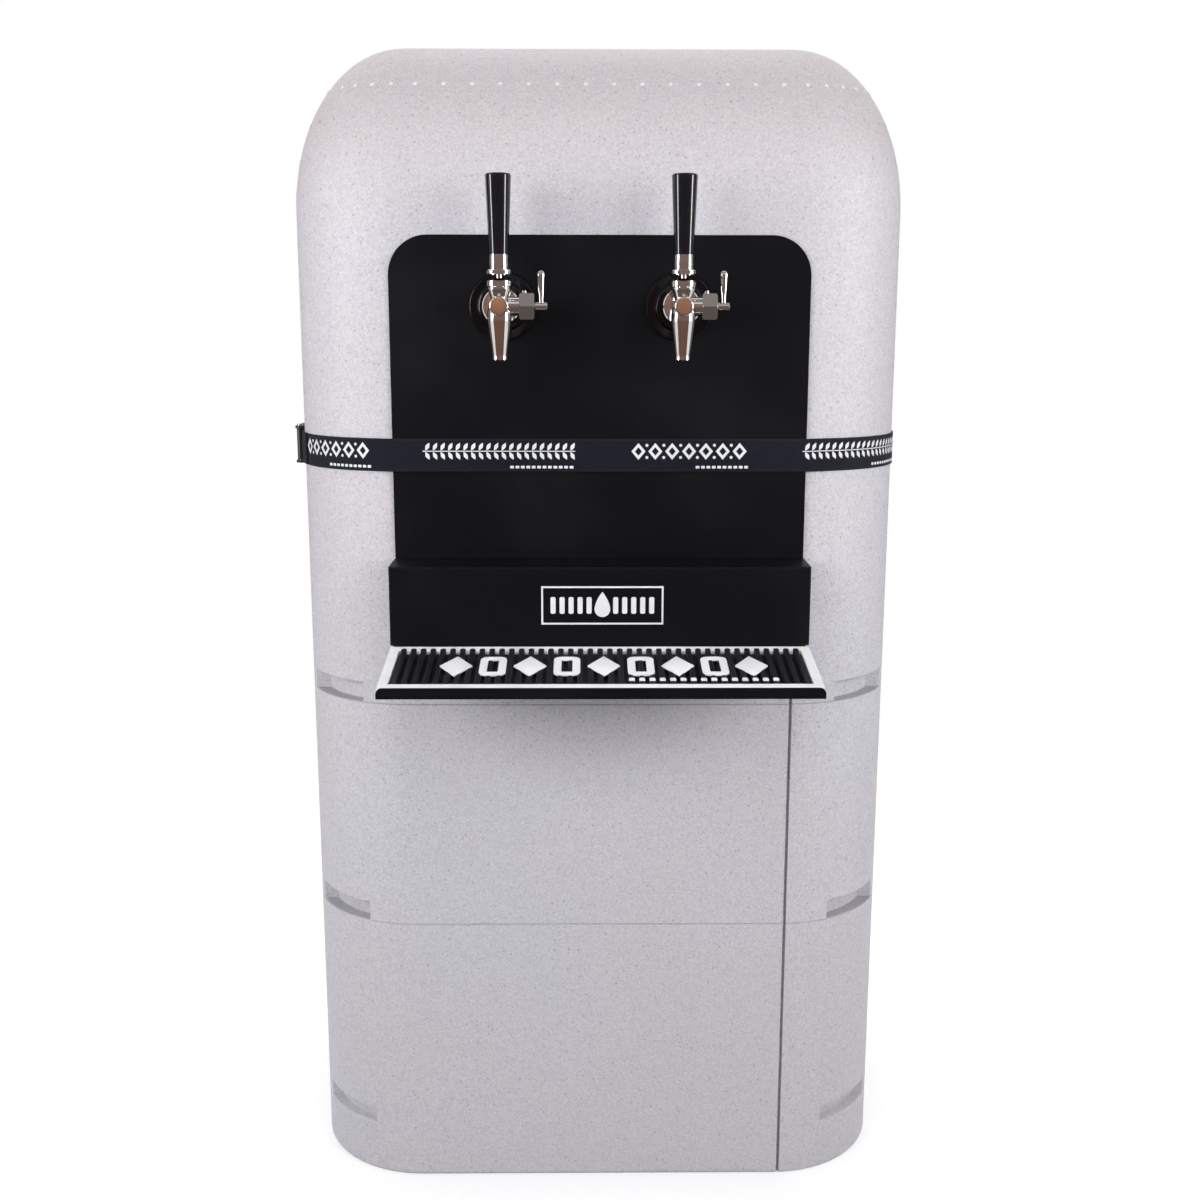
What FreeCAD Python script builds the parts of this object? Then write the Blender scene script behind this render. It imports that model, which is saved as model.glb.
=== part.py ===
import FreeCAD, Part
import math
import os

# Jockey box beer cooler: three stacked bead-foam sections, a sheet-metal tap front with shelf
# and drip tray, two forward-sealing taps with flow control, and a cast cold plate in the ice space.
# Frame: millimetres, +Z up, the front faces -Y, origin at the centre of the base's underside.

V = FreeCAD.Vector
UP = V(0, 0, 1)
RIGHT = V(1, 0, 0)
REARWARD = V(0, 1, 0)
FORWARD = V(0, -1, 0)

# ---------------------------------------------------------------- foam body
body_width = 700.0
body_depth = 600.0
body_height = 1335.0
base_height = 330.0
ring_height = 270.0
foam_wall = 50.0
foam_floor = 50.0
shoulder_run = 126.0          # how far the hood's rounding reaches in from each face
shoulder_rise = 182.0         # how far below the top it starts
corner_land = 9.0             # flat left inside the shoulder at each plan corner
seam_chamfer = 0.8
foot_round = 5.0
tongue_height = 18.0          # upstand on each lower section
tongue_width = 22.0
tongue_side_clearance = 0.5
tongue_top_clearance = 1.5

grip_from_side = 77.0         # the corner grips end this far in from the side faces
grip_from_front = 80.0        # and this far back from the front and rear faces
grip_height = 24.0
grip_depth = 15.0
foot_grip_height = 20.0
foot_grip_depth = 12.0
foot_grip_bottom = 64.0

channel_x = 220.5             # moulded straight channel down the front
channel_width = 3.6
channel_depth = 6.0
channel_above_shelf = 5.0     # the channel ends behind the plate, above the shelf's lower edge

# ---------------------------------------------------------------- sheet metal front
plate_width = 459.0
plate_thickness = 3.0
plate_above_taps = 76.0       # from the taps' axis to the plate's top
plate_corner_radius = 43.0
plate_skirt = 22.0            # how far the plate runs below the shelf
shelf_depth = 62.0
shelf_below_taps = 363.5      # from the taps' axis down to the shelf's lower edge
shelf_height = 87.0
shelf_sheet = 2.0
shelf_flange = 15.0
shelf_bend_radius = 2.4
tray_reach = 179.0            # plate face to the front of the lip
tray_slope = 8.3              # degrees, falling to the front
tray_sheet = 2.0
tray_lip_height = 11.5
tray_lip_corner = 6.5
tray_rear_flange = 18.0
tray_drop = 9.8               # shelf's lower edge to the pan below it

mat_thickness = 9.0
mat_clearance = 0.6
mat_border_width = 10.5
mat_web = 4.0
mat_rib_width = 6.2
mat_rib_pitch = 10.65
mat_rib_round = 1.4

# ---------------------------------------------------------------- girth strap and buckle
strap_width = 36.5
strap_below_taps = 179.7      # from the taps' axis down to the strap's lower edge
strap_thickness = 1.6
strap_clearance = 0.3
buckle_y = -140.0
buckle_length = 56.0
buckle_rise = 14.5
buckle_cheek = 3.0
buckle_side_clearance = 0.75
buckle_bridge = 1.5
buckle_pin_radius = 2.5
buckle_pin_inset = 12.0       # from the buckle's front end
buckle_hub_radius = 4.7
buckle_lever_thickness = 3.0
buckle_pin_head = 1.6
buckle_corner = 7.2

# ---------------------------------------------------------------- taps
tap_spacing = 192.0
tap_offset = -9.5
tap_below_top = 286.5         # body's top to the axis of shank, barrel and flow control
shank_radius = 11.0
shank_bore = 4.0
shank_nose_radius = 14.2
shank_nose_end = 30.0         # in front of the plate
shank_tail_length = 40.0      # behind the foam wall
rosette_radius = 36.5
rosette_step_radius = 26.5
rosette_rim = 4.0
rosette_height = 9.0
lock_nut_flats = 38.0
lock_nut_height = 12.0
coupling_radius = 19.85
coupling_start = 20.0
coupling_length = 18.0
coupling_lip = 3.8
coupling_bevel = 0.95
coupling_notches = 6
coupling_notch_radius = 2.3
coupling_notch_depth = 2.2
thread_clearance = 0.05
hinge_clearance = 0.06
hole_clearance = 0.3

barrel_radius = 10.2
barrel_bore = 6.5
chamber_bore = 8.2
chamber_start = 11.5          # behind the spout's axis
barrel_collar_radius = 13.8
barrel_collar = 4.0
spout_axis_reach = 62.0       # plate face to the spout's axis
barrel_nose = 16.0            # in front of the spout's axis
barrel_nose_wall = 3.2
barrel_nose_round = 2.4
bulb_radius = 12.8
bulb_bottom = 14.5            # below the tap's axis
bulb_shoulder = 7.5
bulb_top = 5.0
spout_length = 41.6
spout_tip_radius = 7.9
spout_tip_land = 5.0
spout_top_bore = 5.6
spout_bore = 4.8
spout_straight_bore = 26.0
spout_lip_round = 1.2

pivot_rise = 19.5             # ball joint above the tap's axis
ball_radius = 7.5
ball_clearance = 0.3
neck_top_radius = 12.4
neck_waist_radius = 9.2
neck_waist_drop = 10.5
neck_bevel = 1.0
bonnet_radius = 13.5
bonnet_gap = 0.4
bonnet_side_top = 6.3
bonnet_top = 9.0
bonnet_top_radius = 9.3
bonnet_seat_top = 4.6
bonnet_mouth_radius = 8.1
lever_stem_radius = 3.2
lever_pin_radius = 2.0
lever_pin_length = 17.0
lever_pin_clearance = 0.4
lever_pin_swing = 6.8         # rearward travel of the pin's end at full pull
lever_collar_rise = 12.4
lever_collar_height = 5.3
lever_collar_radius = 13.5
lever_collar_round = 1.2
lever_stud_radius = 4.0
lever_stud_length = 38.0
ferrule_height = 15.4
ferrule_radius = 10.4
ferrule_gap = 0.2
handle_height = 81.0
handle_foot_radius = 10.2
handle_top_radius = 13.4
handle_top_round = 2.6

plunger_core_radius = 2.0
plunger_land_radius = 5.8
plunger_groove = 6.0
plunger_land = 2.5
plunger_seal_radius = 6.3
plunger_seal_start = 6.7
plunger_seal_length = 4.0
plunger_guide_start = 14.5
plunger_guide_length = 3.0
plunger_guide_width = 3.0
plunger_guide_radius = 7.9

flow_axis_reach = 50.0        # plate face to the flow control's axis
flow_arm_radius = 9.8
flow_arm_end = 20.2           # from the tap's axis, to the right
flow_spigot_radius = 7.0
flow_spigot_length = 6.0
flow_housing_flats = 27.0
flow_housing_length = 16.0
flow_housing_bevel = 1.2
flow_nub_radius = 2.2
flow_nub_height = 2.6
flow_spindle_radius = 3.0
flow_spindle_start = 10.5
flow_hub_radius = 4.3
flow_hub_gap = 0.4
flow_hub_length = 13.0
flow_hub_bevel = 0.5
flow_lever_inset = 6.6        # from the housing to the lever's axis
flow_lever_length = 37.0
flow_lever_foot_radius = 2.4
flow_lever_head_radius = 4.3

# ---------------------------------------------------------------- beer circuit
tube_radius = 4.75
port_x = 70.0                 # beer inlets, outlets and risers, from the middle plane
chill_width = 304.0
chill_depth = 204.0
chill_height = 38.0
chill_centre_y = 20.0
chill_corner = 16.0
chill_edge_round = 5.0
chill_ridge_radius = 8.0      # cast ridges over the tube passes
chill_ridge_rise = 3.0
chill_ridge_pitch = 22.0
chill_ridge_inset = 18.0
chill_boss_radius = 11.0
chill_boss_length = 8.0
chill_socket_depth = 12.0
chill_foot_radius = 12.0
chill_foot_height = 12.0
chill_foot_inset = 28.0
riser_run = 15.0
riser_bend = 25.0
riser_below_taps = 383.5

bulkhead_radius = 9.0
bulkhead_thread_radius = 7.9
bulkhead_thread_length = 16.0
bulkhead_hex_flats = 26.0
bulkhead_hex_height = 8.0
bulkhead_inner_length = 24.0
bulkhead_socket_depth = 12.0
bulkhead_nut_height = 8.0
bulkhead_bore = 3.0

coupler_radius = 11.0
coupler_sleeve_radius = 13.0
coupler_below = 25.0          # how far the coupler reaches down over the riser
coupler_above = 14.0
coupler_sleeve_start = 6.0
coupler_sleeve_length = 12.0
coupler_end_clearance = 1.0
barb_radius = 4.2
barb_length = 11.0

elbow_radius = 6.5
elbow_bend = 13.0
elbow_flange_radius = 9.5
elbow_flange = 3.0
tail_nut_flats = 28.0
tail_nut_height = 16.0
tail_nut_lip = 3.0

hose_radius = 5.5
clamp_width = 7.0
clamp_thickness = 1.0
clamp_clearance = 0.05
clamp_ear = 4.0
clamp_inset = 4.0

# Share of the way from tail piece to riser, and drop below the tail piece.
HOSE_BENDS = ((0.0, -60.0), (0.25, -135.0), (0.7, -205.0))
hose_last_run = 62.0
hose_bend_share = 0.45        # part of the shorter run that each bend takes up

drain_x = -200.0
drain_z = 72.0
drain_radius = 12.0
drain_head_radius = 18.0
drain_head = 7.0
drain_clearance = 0.05
drain_taper = 1.8

# ---------------------------------------------------------------- derived places
corner_radius = shoulder_run + corner_land
front_face = -body_depth / 2
rear_face = body_depth / 2
side_face = body_width / 2
seam_low = base_height
seam_high = base_height + ring_height
tap_height = body_height - tap_below_top
plate_front = front_face - plate_thickness
shelf_front = plate_front - shelf_depth
shelf_bottom = tap_height - shelf_below_taps
shelf_top = shelf_bottom + shelf_height
plate_bottom = shelf_bottom - plate_skirt
plate_top = tap_height + plate_above_taps
channel_top = shelf_bottom + channel_above_shelf
tray_front = plate_front - tray_reach
strap_bottom = tap_height - strap_below_taps
strap_top = strap_bottom + strap_width
spout_axis_y = plate_front - spout_axis_reach
flow_axis_y = plate_front - flow_axis_reach
pivot_z = tap_height + pivot_rise
inner_front = front_face + foam_wall
inner_rear = rear_face - foam_wall
riser_top = tap_height - riser_below_taps
shank_rear = inner_front + shank_tail_length
tap_places = {"left": tap_offset - tap_spacing / 2, "right": tap_offset + tap_spacing / 2}
cut_margin = 1.0              # how far a cutter runs past the face it opens
same_place = 0.01             # two heights or faces closer than this are the same
eighth_turn = math.sqrt(0.5)
chill_bottom = foam_floor + chill_foot_height
port_z = chill_bottom + chill_height / 2
chill_front = chill_centre_y - chill_depth / 2
chill_rear = chill_centre_y + chill_depth / 2
strap_skin_x = -side_face - strap_clearance - strap_thickness
cheek_low = strap_bottom - buckle_side_clearance - buckle_cheek
cheek_high = strap_top + buckle_side_clearance
buckle_front = buckle_y - buckle_length / 2
buckle_rear = buckle_y + buckle_length / 2
pin_x = strap_skin_x - strap_clearance - buckle_bridge - buckle_hub_radius - buckle_side_clearance
pin_y = buckle_front + buckle_pin_inset

# Plan corners in turning order, from rear right; each starts where its quarter turn starts.
PLAN_CORNERS = ((1, 1), (-1, 1), (-1, -1), (1, -1))


# ================================================================ shared forms
def place(shape, base, direction):
    """Move a shape made along +Z at the origin to base, pointing along direction."""
    shape.Placement = FreeCAD.Placement(base, FreeCAD.Rotation(UP, direction))
    return shape


def rod(radius, length, base, direction=UP):
    return Part.makeCylinder(radius, length, base, direction)


def block(x_low, x_high, y_low, y_high, z_low, z_high):
    return Part.makeBox(x_high - x_low, y_high - y_low, z_high - z_low, V(x_low, y_low, z_low))


def turned(outline, base, direction=UP):
    """Revolve a closed outline of (radius, height) steps; a step of four numbers is an arc
    through its first pair to its second."""
    edges = []
    last = outline[0]
    for step in list(outline[1:]) + [outline[0]]:
        end = step[-2:]
        start_point = V(last[0], 0, last[1])
        end_point = V(end[0], 0, end[1])
        if len(step) == 4:
            edges.append(Part.Arc(start_point, V(step[0], 0, step[1]), end_point).toShape())
        elif start_point.distanceToPoint(end_point) > 1e-6:
            edges.append(Part.LineSegment(start_point, end_point).toShape())
        last = end
    solid = Part.Face(Part.Wire(edges)).revolve(V(0, 0, 0), UP, 360)
    return place(solid, base, direction)


def hex_prism(flats, height, base, direction):
    """Hexagonal prism with two of its flats square to the shape's local Y axis."""
    radius = flats / math.sqrt(3)
    points = [V(radius * math.cos(math.radians(60 * i)), radius * math.sin(math.radians(60 * i)), 0)
              for i in range(7)]
    prism = Part.Face(Part.makePolygon(points)).extrude(V(0, 0, height))
    return place(prism, base, direction)


def rounded_outline(width, depth, radius, z):
    """Closed wire of a rectangle with round corners, centred on the Z axis."""
    arcs = []
    for quarter, (sx, sy) in enumerate(PLAN_CORNERS):
        circle = Part.Circle(V(sx * (width / 2 - radius), sy * (depth / 2 - radius), z), UP, radius)
        arcs.append(Part.ArcOfCircle(circle, math.pi / 2 * quarter, math.pi / 2 * (quarter + 1)))
    edges = []
    for arc, following in zip(arcs, arcs[1:] + arcs[:1]):
        edges.append(arc.toShape())
        edges.append(Part.LineSegment(arc.EndPoint, following.StartPoint).toShape())
    return Part.Wire(edges)


def rounded_prism(inset, z_low, z_high):
    """Prism of the body's plan, moved in by inset on every side."""
    wire = rounded_outline(body_width - 2 * inset, body_depth - 2 * inset, corner_radius - inset, z_low)
    return Part.Face(wire).extrude(V(0, 0, z_high - z_low))


def shoulder_profile(inset, z_low, z_high, swing):
    """Upright face from a corner's axis out to the hood's skin, turned about Z by swing degrees."""
    radius = corner_radius - inset
    run = shoulder_run - inset
    rise = shoulder_rise - inset
    centre = V(radius - run, 0, z_high - rise)
    top, side = centre + V(0, 0, rise), centre + V(run, 0, 0)
    ellipse = Part.Ellipse(top, side, centre) if rise >= run else Part.Ellipse(side, top, centre)
    arc = Part.ArcOfEllipse(ellipse, 0, math.pi / 2).toShape()
    edges = [arc,
             Part.LineSegment(side, V(radius, 0, z_low)).toShape(),
             Part.LineSegment(V(radius, 0, z_low), V(0, 0, z_low)).toShape(),
             Part.LineSegment(V(0, 0, z_low), V(0, 0, z_high)).toShape(),
             Part.LineSegment(V(0, 0, z_high), top).toShape()]
    face = Part.Face(Part.Wire(Part.__sortEdges__(edges)))
    face.rotate(V(0, 0, 0), UP, swing)
    return face


def domed_block(inset, z_low, z_high):
    """Rounded block with elliptical shoulders: revolved corners, extruded sides and a core."""
    half_x = body_width / 2 - corner_radius
    half_y = body_depth / 2 - corner_radius
    axes = [V(sx * half_x, sy * half_y, 0) for sx, sy in PLAN_CORNERS]
    pieces = [block(-half_x, half_x, -half_y, half_y, z_low, z_high)]
    for quarter, axis in enumerate(axes):
        profile = shoulder_profile(inset, z_low, z_high, 90 * quarter)
        profile.translate(axis)
        pieces.append(profile.revolve(axis, UP, 90))
        pieces.append(profile.extrude(axes[quarter - 1] - axis))
    return pieces[0].multiFuse(pieces[1:]).removeSplitter()


def edges_at(shape, z):
    """Edges that lie wholly at height z."""
    return [edge for edge in shape.Edges
            if abs(edge.BoundBox.ZMin - z) < same_place and abs(edge.BoundBox.ZMax - z) < same_place]


def corner_grips(depth, z_low, z_high):
    """Cutters for the finger grips that wrap the four plan corners."""
    skin = rounded_prism(-cut_margin, z_low, z_high).cut(rounded_prism(depth, z_low, z_high))
    reach_x, reach_y = side_face - grip_from_side, rear_face - grip_from_front
    cutters = []
    for sx in (-1, 1):
        for sy in (-1, 1):
            x_low, x_high = sorted((sx * reach_x, sx * (side_face + depth)))
            y_low, y_high = sorted((sy * reach_y, sy * (rear_face + depth)))
            cutters.append(skin.common(block(x_low, x_high, y_low, y_high, z_low, z_high)))
    return cutters


def channel_cutter(z_low, z_high):
    half = channel_width / 2
    return block(channel_x - half, channel_x + half, front_face - channel_depth,
                 front_face + channel_depth, z_low, z_high)


def tongue(z):
    """Upstand ring on top of a lower section."""
    outer = rounded_prism(foam_wall - tongue_width, z, z + tongue_height)
    return outer.cut(rounded_prism(foam_wall, z, z + tongue_height))


def rebate(z):
    """Cutter for the recess that takes the tongue of the section below."""
    inset = foam_wall - tongue_width - tongue_side_clearance
    return rounded_prism(inset, z - cut_margin, z + tongue_height + tongue_top_clearance)


# ================================================================ foam sections
def base_tub():
    outer = rounded_prism(0, 0, base_height)
    outer = outer.makeFillet(foot_round, edges_at(outer, 0))
    outer = outer.makeChamfer(seam_chamfer, edges_at(outer, base_height))
    tub = outer.fuse(tongue(seam_low))
    cutters = [rounded_prism(foam_wall, foam_floor, base_height + tongue_height + cut_margin),
               channel_cutter(-cut_margin, base_height + cut_margin)]
    cutters += corner_grips(foot_grip_depth, foot_grip_bottom, foot_grip_bottom + foot_grip_height)
    for x in (-port_x, port_x):
        cutters.append(rod(bulkhead_radius + hole_clearance, 2 * foam_wall,
                           V(x, inner_rear - foam_wall / 2, port_z), REARWARD))
    cutters.append(rod(drain_radius + drain_clearance, 2 * foam_wall,
                       V(drain_x, inner_rear - foam_wall / 2, drain_z), REARWARD))
    return tub.cut(cutters)


def middle_ring():
    outer = rounded_prism(0, seam_low, seam_high)
    outer = outer.makeChamfer(seam_chamfer, edges_at(outer, seam_low) + edges_at(outer, seam_high))
    ring = outer.fuse(tongue(seam_high))
    cutters = [rounded_prism(foam_wall, seam_low - cut_margin, seam_high + tongue_height + cut_margin),
               rebate(seam_low), channel_cutter(seam_low - cut_margin, seam_high + cut_margin)]
    cutters += corner_grips(grip_depth, seam_low - cut_margin, seam_low + grip_height)
    return ring.cut(cutters)


def hood_shell():
    outer = domed_block(0, seam_high, body_height)
    outer = outer.makeChamfer(seam_chamfer, edges_at(outer, seam_high))
    cutters = [domed_block(foam_wall, seam_high - cut_margin, body_height - foam_wall),
               rebate(seam_high), channel_cutter(seam_high - cut_margin, channel_top)]
    cutters += corner_grips(grip_depth, seam_high - cut_margin, seam_high + grip_height)
    for x in tap_places.values():
        cutters.append(rod(shank_radius + hole_clearance, 2 * foam_wall,
                           V(x, front_face - foam_wall / 2, tap_height), REARWARD))
    return outer.cut(cutters)


# ================================================================ sheet-metal front
def tap_plate():
    half, radius = plate_width / 2, plate_corner_radius
    y, turn = front_face, radius * (1 - eighth_turn)
    points = [V(-half, y, plate_bottom), V(half, y, plate_bottom), V(half, y, plate_top - radius),
              V(half - radius, y, plate_top), V(-half + radius, y, plate_top),
              V(-half, y, plate_top - radius)]
    edges = [Part.LineSegment(points[0], points[1]).toShape(),
             Part.LineSegment(points[1], points[2]).toShape(),
             Part.Arc(points[2], V(half - turn, y, plate_top - turn), points[3]).toShape(),
             Part.LineSegment(points[3], points[4]).toShape(),
             Part.Arc(points[4], V(turn - half, y, plate_top - turn), points[5]).toShape(),
             Part.LineSegment(points[5], points[0]).toShape()]
    plate = Part.Face(Part.Wire(edges)).extrude(V(0, -plate_thickness, 0))
    holes = [rod(shank_radius + thread_clearance, 3 * plate_thickness,
                 V(x, front_face + plate_thickness, tap_height), FORWARD) for x in tap_places.values()]
    return plate.cut(holes)


def shelf_box():
    """Folded box, open at the back and below, with two flanges that lie on the plate."""
    half = plate_width / 2
    outer = block(-half, half, shelf_front, plate_front, shelf_bottom, shelf_top)
    bends = [edge for edge in outer.Edges
             if abs(edge.BoundBox.YMax - shelf_front) < same_place
             and abs(edge.BoundBox.ZMax - shelf_top) < same_place]
    outer = outer.makeFillet(shelf_bend_radius, bends)
    inner = block(-half + shelf_sheet, half - shelf_sheet, shelf_front + shelf_sheet,
                  plate_front + cut_margin, shelf_bottom - cut_margin, shelf_top - shelf_sheet)
    box = outer.cut(inner)
    flanges = []
    for side in (-1, 1):
        x_low, x_high = sorted((side * (half - shelf_sheet), side * (half - shelf_sheet - shelf_flange)))
        flanges.append(block(x_low, x_high, plate_front - shelf_sheet, plate_front,
                             shelf_bottom, shelf_top - shelf_sheet))
    return box.multiFuse(flanges).removeSplitter()


def pan_height(y):
    """Height of the tray pan's upper face at y."""
    fall = math.tan(math.radians(tray_slope))
    return shelf_bottom - tray_drop - (shelf_front - y) * fall


def slope_bar(y_front, y_rear, rise_low, rise_high, x_low, x_high):
    """Bar that lies along the pan between two heights above it, with upright ends."""
    points = [V(x_low, y_front, pan_height(y_front) + rise_low),
              V(x_low, y_rear, pan_height(y_rear) + rise_low),
              V(x_low, y_rear, pan_height(y_rear) + rise_high),
              V(x_low, y_front, pan_height(y_front) + rise_high)]
    face = Part.Face(Part.makePolygon(points + [points[0]]))
    return face.extrude(V(x_high - x_low, 0, 0))


def drip_tray():
    """One folded sheet: rear flange on the plate, sloping pan and upright front lip."""
    half = plate_width / 2
    sheet = tray_sheet / math.cos(math.radians(tray_slope))
    pan = slope_bar(tray_front, plate_front, -sheet, 0, -half, half)
    flange_top = pan_height(plate_front) - sheet / 2
    flange = block(-half, half, plate_front - tray_sheet, plate_front,
                   flange_top - tray_rear_flange, flange_top)
    lip_bottom = pan_height(tray_front) - sheet
    lip = block(-half, half, tray_front, tray_front + tray_sheet, lip_bottom, lip_bottom + tray_lip_height)
    corners = [edge for edge in lip.Edges
               if edge.BoundBox.ZMin > lip_bottom + tray_sheet and edge.BoundBox.YLength > tray_sheet / 2]
    lip = lip.makeFillet(tray_lip_corner, corners)
    return pan.multiFuse([flange, lip]).removeSplitter()


def mat_span():
    """Front and rear limits of the mat between the lip and the shelf."""
    return tray_front + tray_sheet + mat_clearance, shelf_front - mat_clearance


def mat_border():
    front, rear = mat_span()
    half = plate_width / 2 - mat_clearance
    frame = slope_bar(front, rear, 0, mat_thickness, -half, half)
    hole = slope_bar(front + mat_border_width, rear - mat_border_width, -cut_margin,
                     mat_thickness + cut_margin, -half + mat_border_width, half - mat_border_width)
    return frame.cut(hole)


def bar_mat():
    """Thin web inside the border with a row of ribs from front to back."""
    front, rear = mat_span()
    front, rear = front + mat_border_width, rear - mat_border_width
    half = plate_width / 2 - mat_clearance - mat_border_width
    web = slope_bar(front, rear, 0, mat_web, -half, half)
    count = int((2 * half - mat_rib_width) // mat_rib_pitch) + 1
    first = -(count - 1) * mat_rib_pitch / 2
    ribs = []
    for i in range(count):
        x = first + i * mat_rib_pitch
        rib = slope_bar(front, rear, mat_web, mat_thickness, x - mat_rib_width / 2, x + mat_rib_width / 2)
        crown = [edge for edge in rib.Edges
                 if edge.BoundBox.YLength > mat_thickness and
                 edge.CenterOfMass.z > pan_height(edge.CenterOfMass.y) + (mat_web + mat_thickness) / 2]
        ribs.append(rib.makeChamfer(mat_rib_round, crown))
    return web.multiFuse(ribs).removeSplitter()


# ================================================================ girth strap and buckle
def strap_outline(gap, z):
    """Tight loop at a distance gap from the hood's skin and from the plate's two front edges."""
    radius = corner_radius + gap
    cx, cy = side_face - corner_radius, rear_face - corner_radius
    edge_x, edge_y = plate_width / 2, plate_front - gap
    to_edge = V(edge_x - cx, edge_y + cy, 0)
    lean = math.atan2(to_edge.y, to_edge.x) + math.acos(radius / to_edge.Length)
    touch = V(cx + radius * math.cos(lean), -cy + radius * math.sin(lean), z)
    bend = V(cx + radius * math.cos(lean / 2), -cy + radius * math.sin(lean / 2), z)
    side_low = V(cx + radius, -cy, z)
    side_high = V(cx + radius, cy, z)
    rear_bend = V(cx + radius * eighth_turn, cy + radius * eighth_turn, z)
    rear = V(cx, cy + radius, z)
    right = [Part.LineSegment(V(edge_x, edge_y, z), touch).toShape(),
             Part.Arc(touch, bend, side_low).toShape(),
             Part.LineSegment(side_low, side_high).toShape(),
             Part.Arc(side_high, rear_bend, rear).toShape()]
    left = [edge.mirror(V(0, 0, 0), RIGHT) for edge in right]
    joins = [Part.LineSegment(V(-edge_x, edge_y, z), V(edge_x, edge_y, z)).toShape(),
             Part.LineSegment(rear, V(-rear.x, rear.y, z)).toShape()]
    return Part.Wire(Part.__sortEdges__(right + left + joins))


def strap():
    outer = Part.Face(strap_outline(strap_clearance + strap_thickness, strap_bottom))
    inner = Part.Face(strap_outline(strap_clearance, strap_bottom))
    return outer.cut(inner).extrude(V(0, 0, strap_width))


def buckle_frame():
    """Bridge over the strap between two cheeks that carry the pin."""
    x_in, x_out = -side_face - strap_clearance, -side_face - buckle_rise
    cheeks = []
    for z in (cheek_low, cheek_high):
        cheek = block(x_out, x_in, buckle_front, buckle_rear, z, z + buckle_cheek)
        ends = [edge for edge in cheek.Edges
                if edge.BoundBox.ZLength > buckle_cheek / 2 and edge.BoundBox.XMax < x_out + same_place]
        cheek = cheek.makeFillet(buckle_corner, ends)
        cheeks.append(cheek.cut(rod(buckle_pin_radius + thread_clearance, 3 * buckle_cheek,
                                    V(pin_x, pin_y, z - buckle_cheek))))
    bridge_x = strap_skin_x - strap_clearance
    bridge = block(bridge_x - buckle_bridge, bridge_x, buckle_front + buckle_cheek,
                   buckle_rear - buckle_cheek, cheek_low + buckle_cheek, cheek_high)
    return bridge.multiFuse(cheeks).removeSplitter()


def buckle_pin():
    shaft = rod(buckle_pin_radius, cheek_high + buckle_cheek - cheek_low, V(pin_x, pin_y, cheek_low))
    head = rod(buckle_pin_radius + buckle_pin_head, buckle_pin_head,
               V(pin_x, pin_y, cheek_high + buckle_cheek))
    return shaft.fuse(head)


def buckle_lever():
    """Cam lever: hub on the pin and a flat tail that lies along the strap."""
    z_low, z_high = cheek_low + buckle_cheek + buckle_side_clearance, cheek_high - buckle_side_clearance
    hub = rod(buckle_hub_radius, z_high - z_low, V(pin_x, pin_y, z_low))
    x_out = pin_x - buckle_hub_radius
    tail = block(x_out, x_out + buckle_lever_thickness, pin_y, buckle_rear, z_low, z_high)
    tip = [edge for edge in tail.Edges
           if edge.BoundBox.XLength > buckle_lever_thickness / 2
           and edge.BoundBox.YMin > buckle_rear - same_place]
    tail = tail.makeFillet(buckle_corner, tip)
    bore = rod(buckle_pin_radius + hinge_clearance, 2 * strap_width, V(pin_x, pin_y, cheek_low))
    return hub.fuse(tail).removeSplitter().cut(bore)


# ================================================================ shank, nuts and tail
def shank(x):
    """Threaded tube through plate and foam, with a wider nose for the coupling nut."""
    length = shank_rear - (plate_front - rosette_height)
    body = rod(shank_radius, length, V(x, shank_rear, tap_height), FORWARD)
    nose = rod(shank_nose_radius, shank_nose_end - rosette_height,
               V(x, plate_front - rosette_height, tap_height), FORWARD)
    bore = rod(shank_bore, length + shank_nose_end + cut_margin,
               V(x, shank_rear + cut_margin, tap_height), FORWARD)
    return body.fuse(nose).cut(bore)


def shank_flange(x):
    """Stepped rosette between the plate and the shank's nose."""
    hole = shank_radius + thread_clearance
    step_round = rosette_rim / 2
    turn = step_round * (1 - eighth_turn)
    outline = [(hole, 0), (rosette_radius, 0), (rosette_radius, rosette_rim - step_round),
               (rosette_radius - turn, rosette_rim - turn, rosette_radius - step_round, rosette_rim),
               (rosette_step_radius, rosette_rim), (rosette_step_radius, rosette_height - step_round),
               (rosette_step_radius - step_round, rosette_height), (hole, rosette_height)]
    return turned(outline, V(x, plate_front, tap_height), FORWARD)


def shank_lock_nut(x):
    nut = hex_prism(lock_nut_flats, lock_nut_height, V(x, inner_front, tap_height), REARWARD)
    return nut.cut(rod(shank_radius + thread_clearance, 3 * lock_nut_height,
                       V(x, inner_front - lock_nut_height, tap_height), REARWARD))


def coupling_nut(x):
    """Round nut that draws the faucet's collar onto the shank's nose."""
    bore = shank_nose_radius + thread_clearance
    lip_at = coupling_length - coupling_lip
    bevel = coupling_bevel
    outline = [(bore, 0), (coupling_radius - bevel, 0), (coupling_radius, bevel),
               (coupling_radius, coupling_length - bevel), (coupling_radius - bevel, coupling_length),
               (barrel_radius + hole_clearance, coupling_length),
               (barrel_radius + hole_clearance, lip_at), (bore, lip_at)]
    base = V(x, plate_front - coupling_start, tap_height)
    nut = turned(outline, base, FORWARD)
    notches = []
    for i in range(coupling_notches):
        angle = math.radians(360.0 * i / coupling_notches + 30)
        out = V(math.cos(angle), 0, math.sin(angle))
        start = base + FORWARD * (coupling_length / 2) + out * (coupling_radius - coupling_notch_depth)
        notches.append(rod(coupling_notch_radius, 2 * coupling_notch_depth, start, out))
    return nut.cut(notches)


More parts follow.
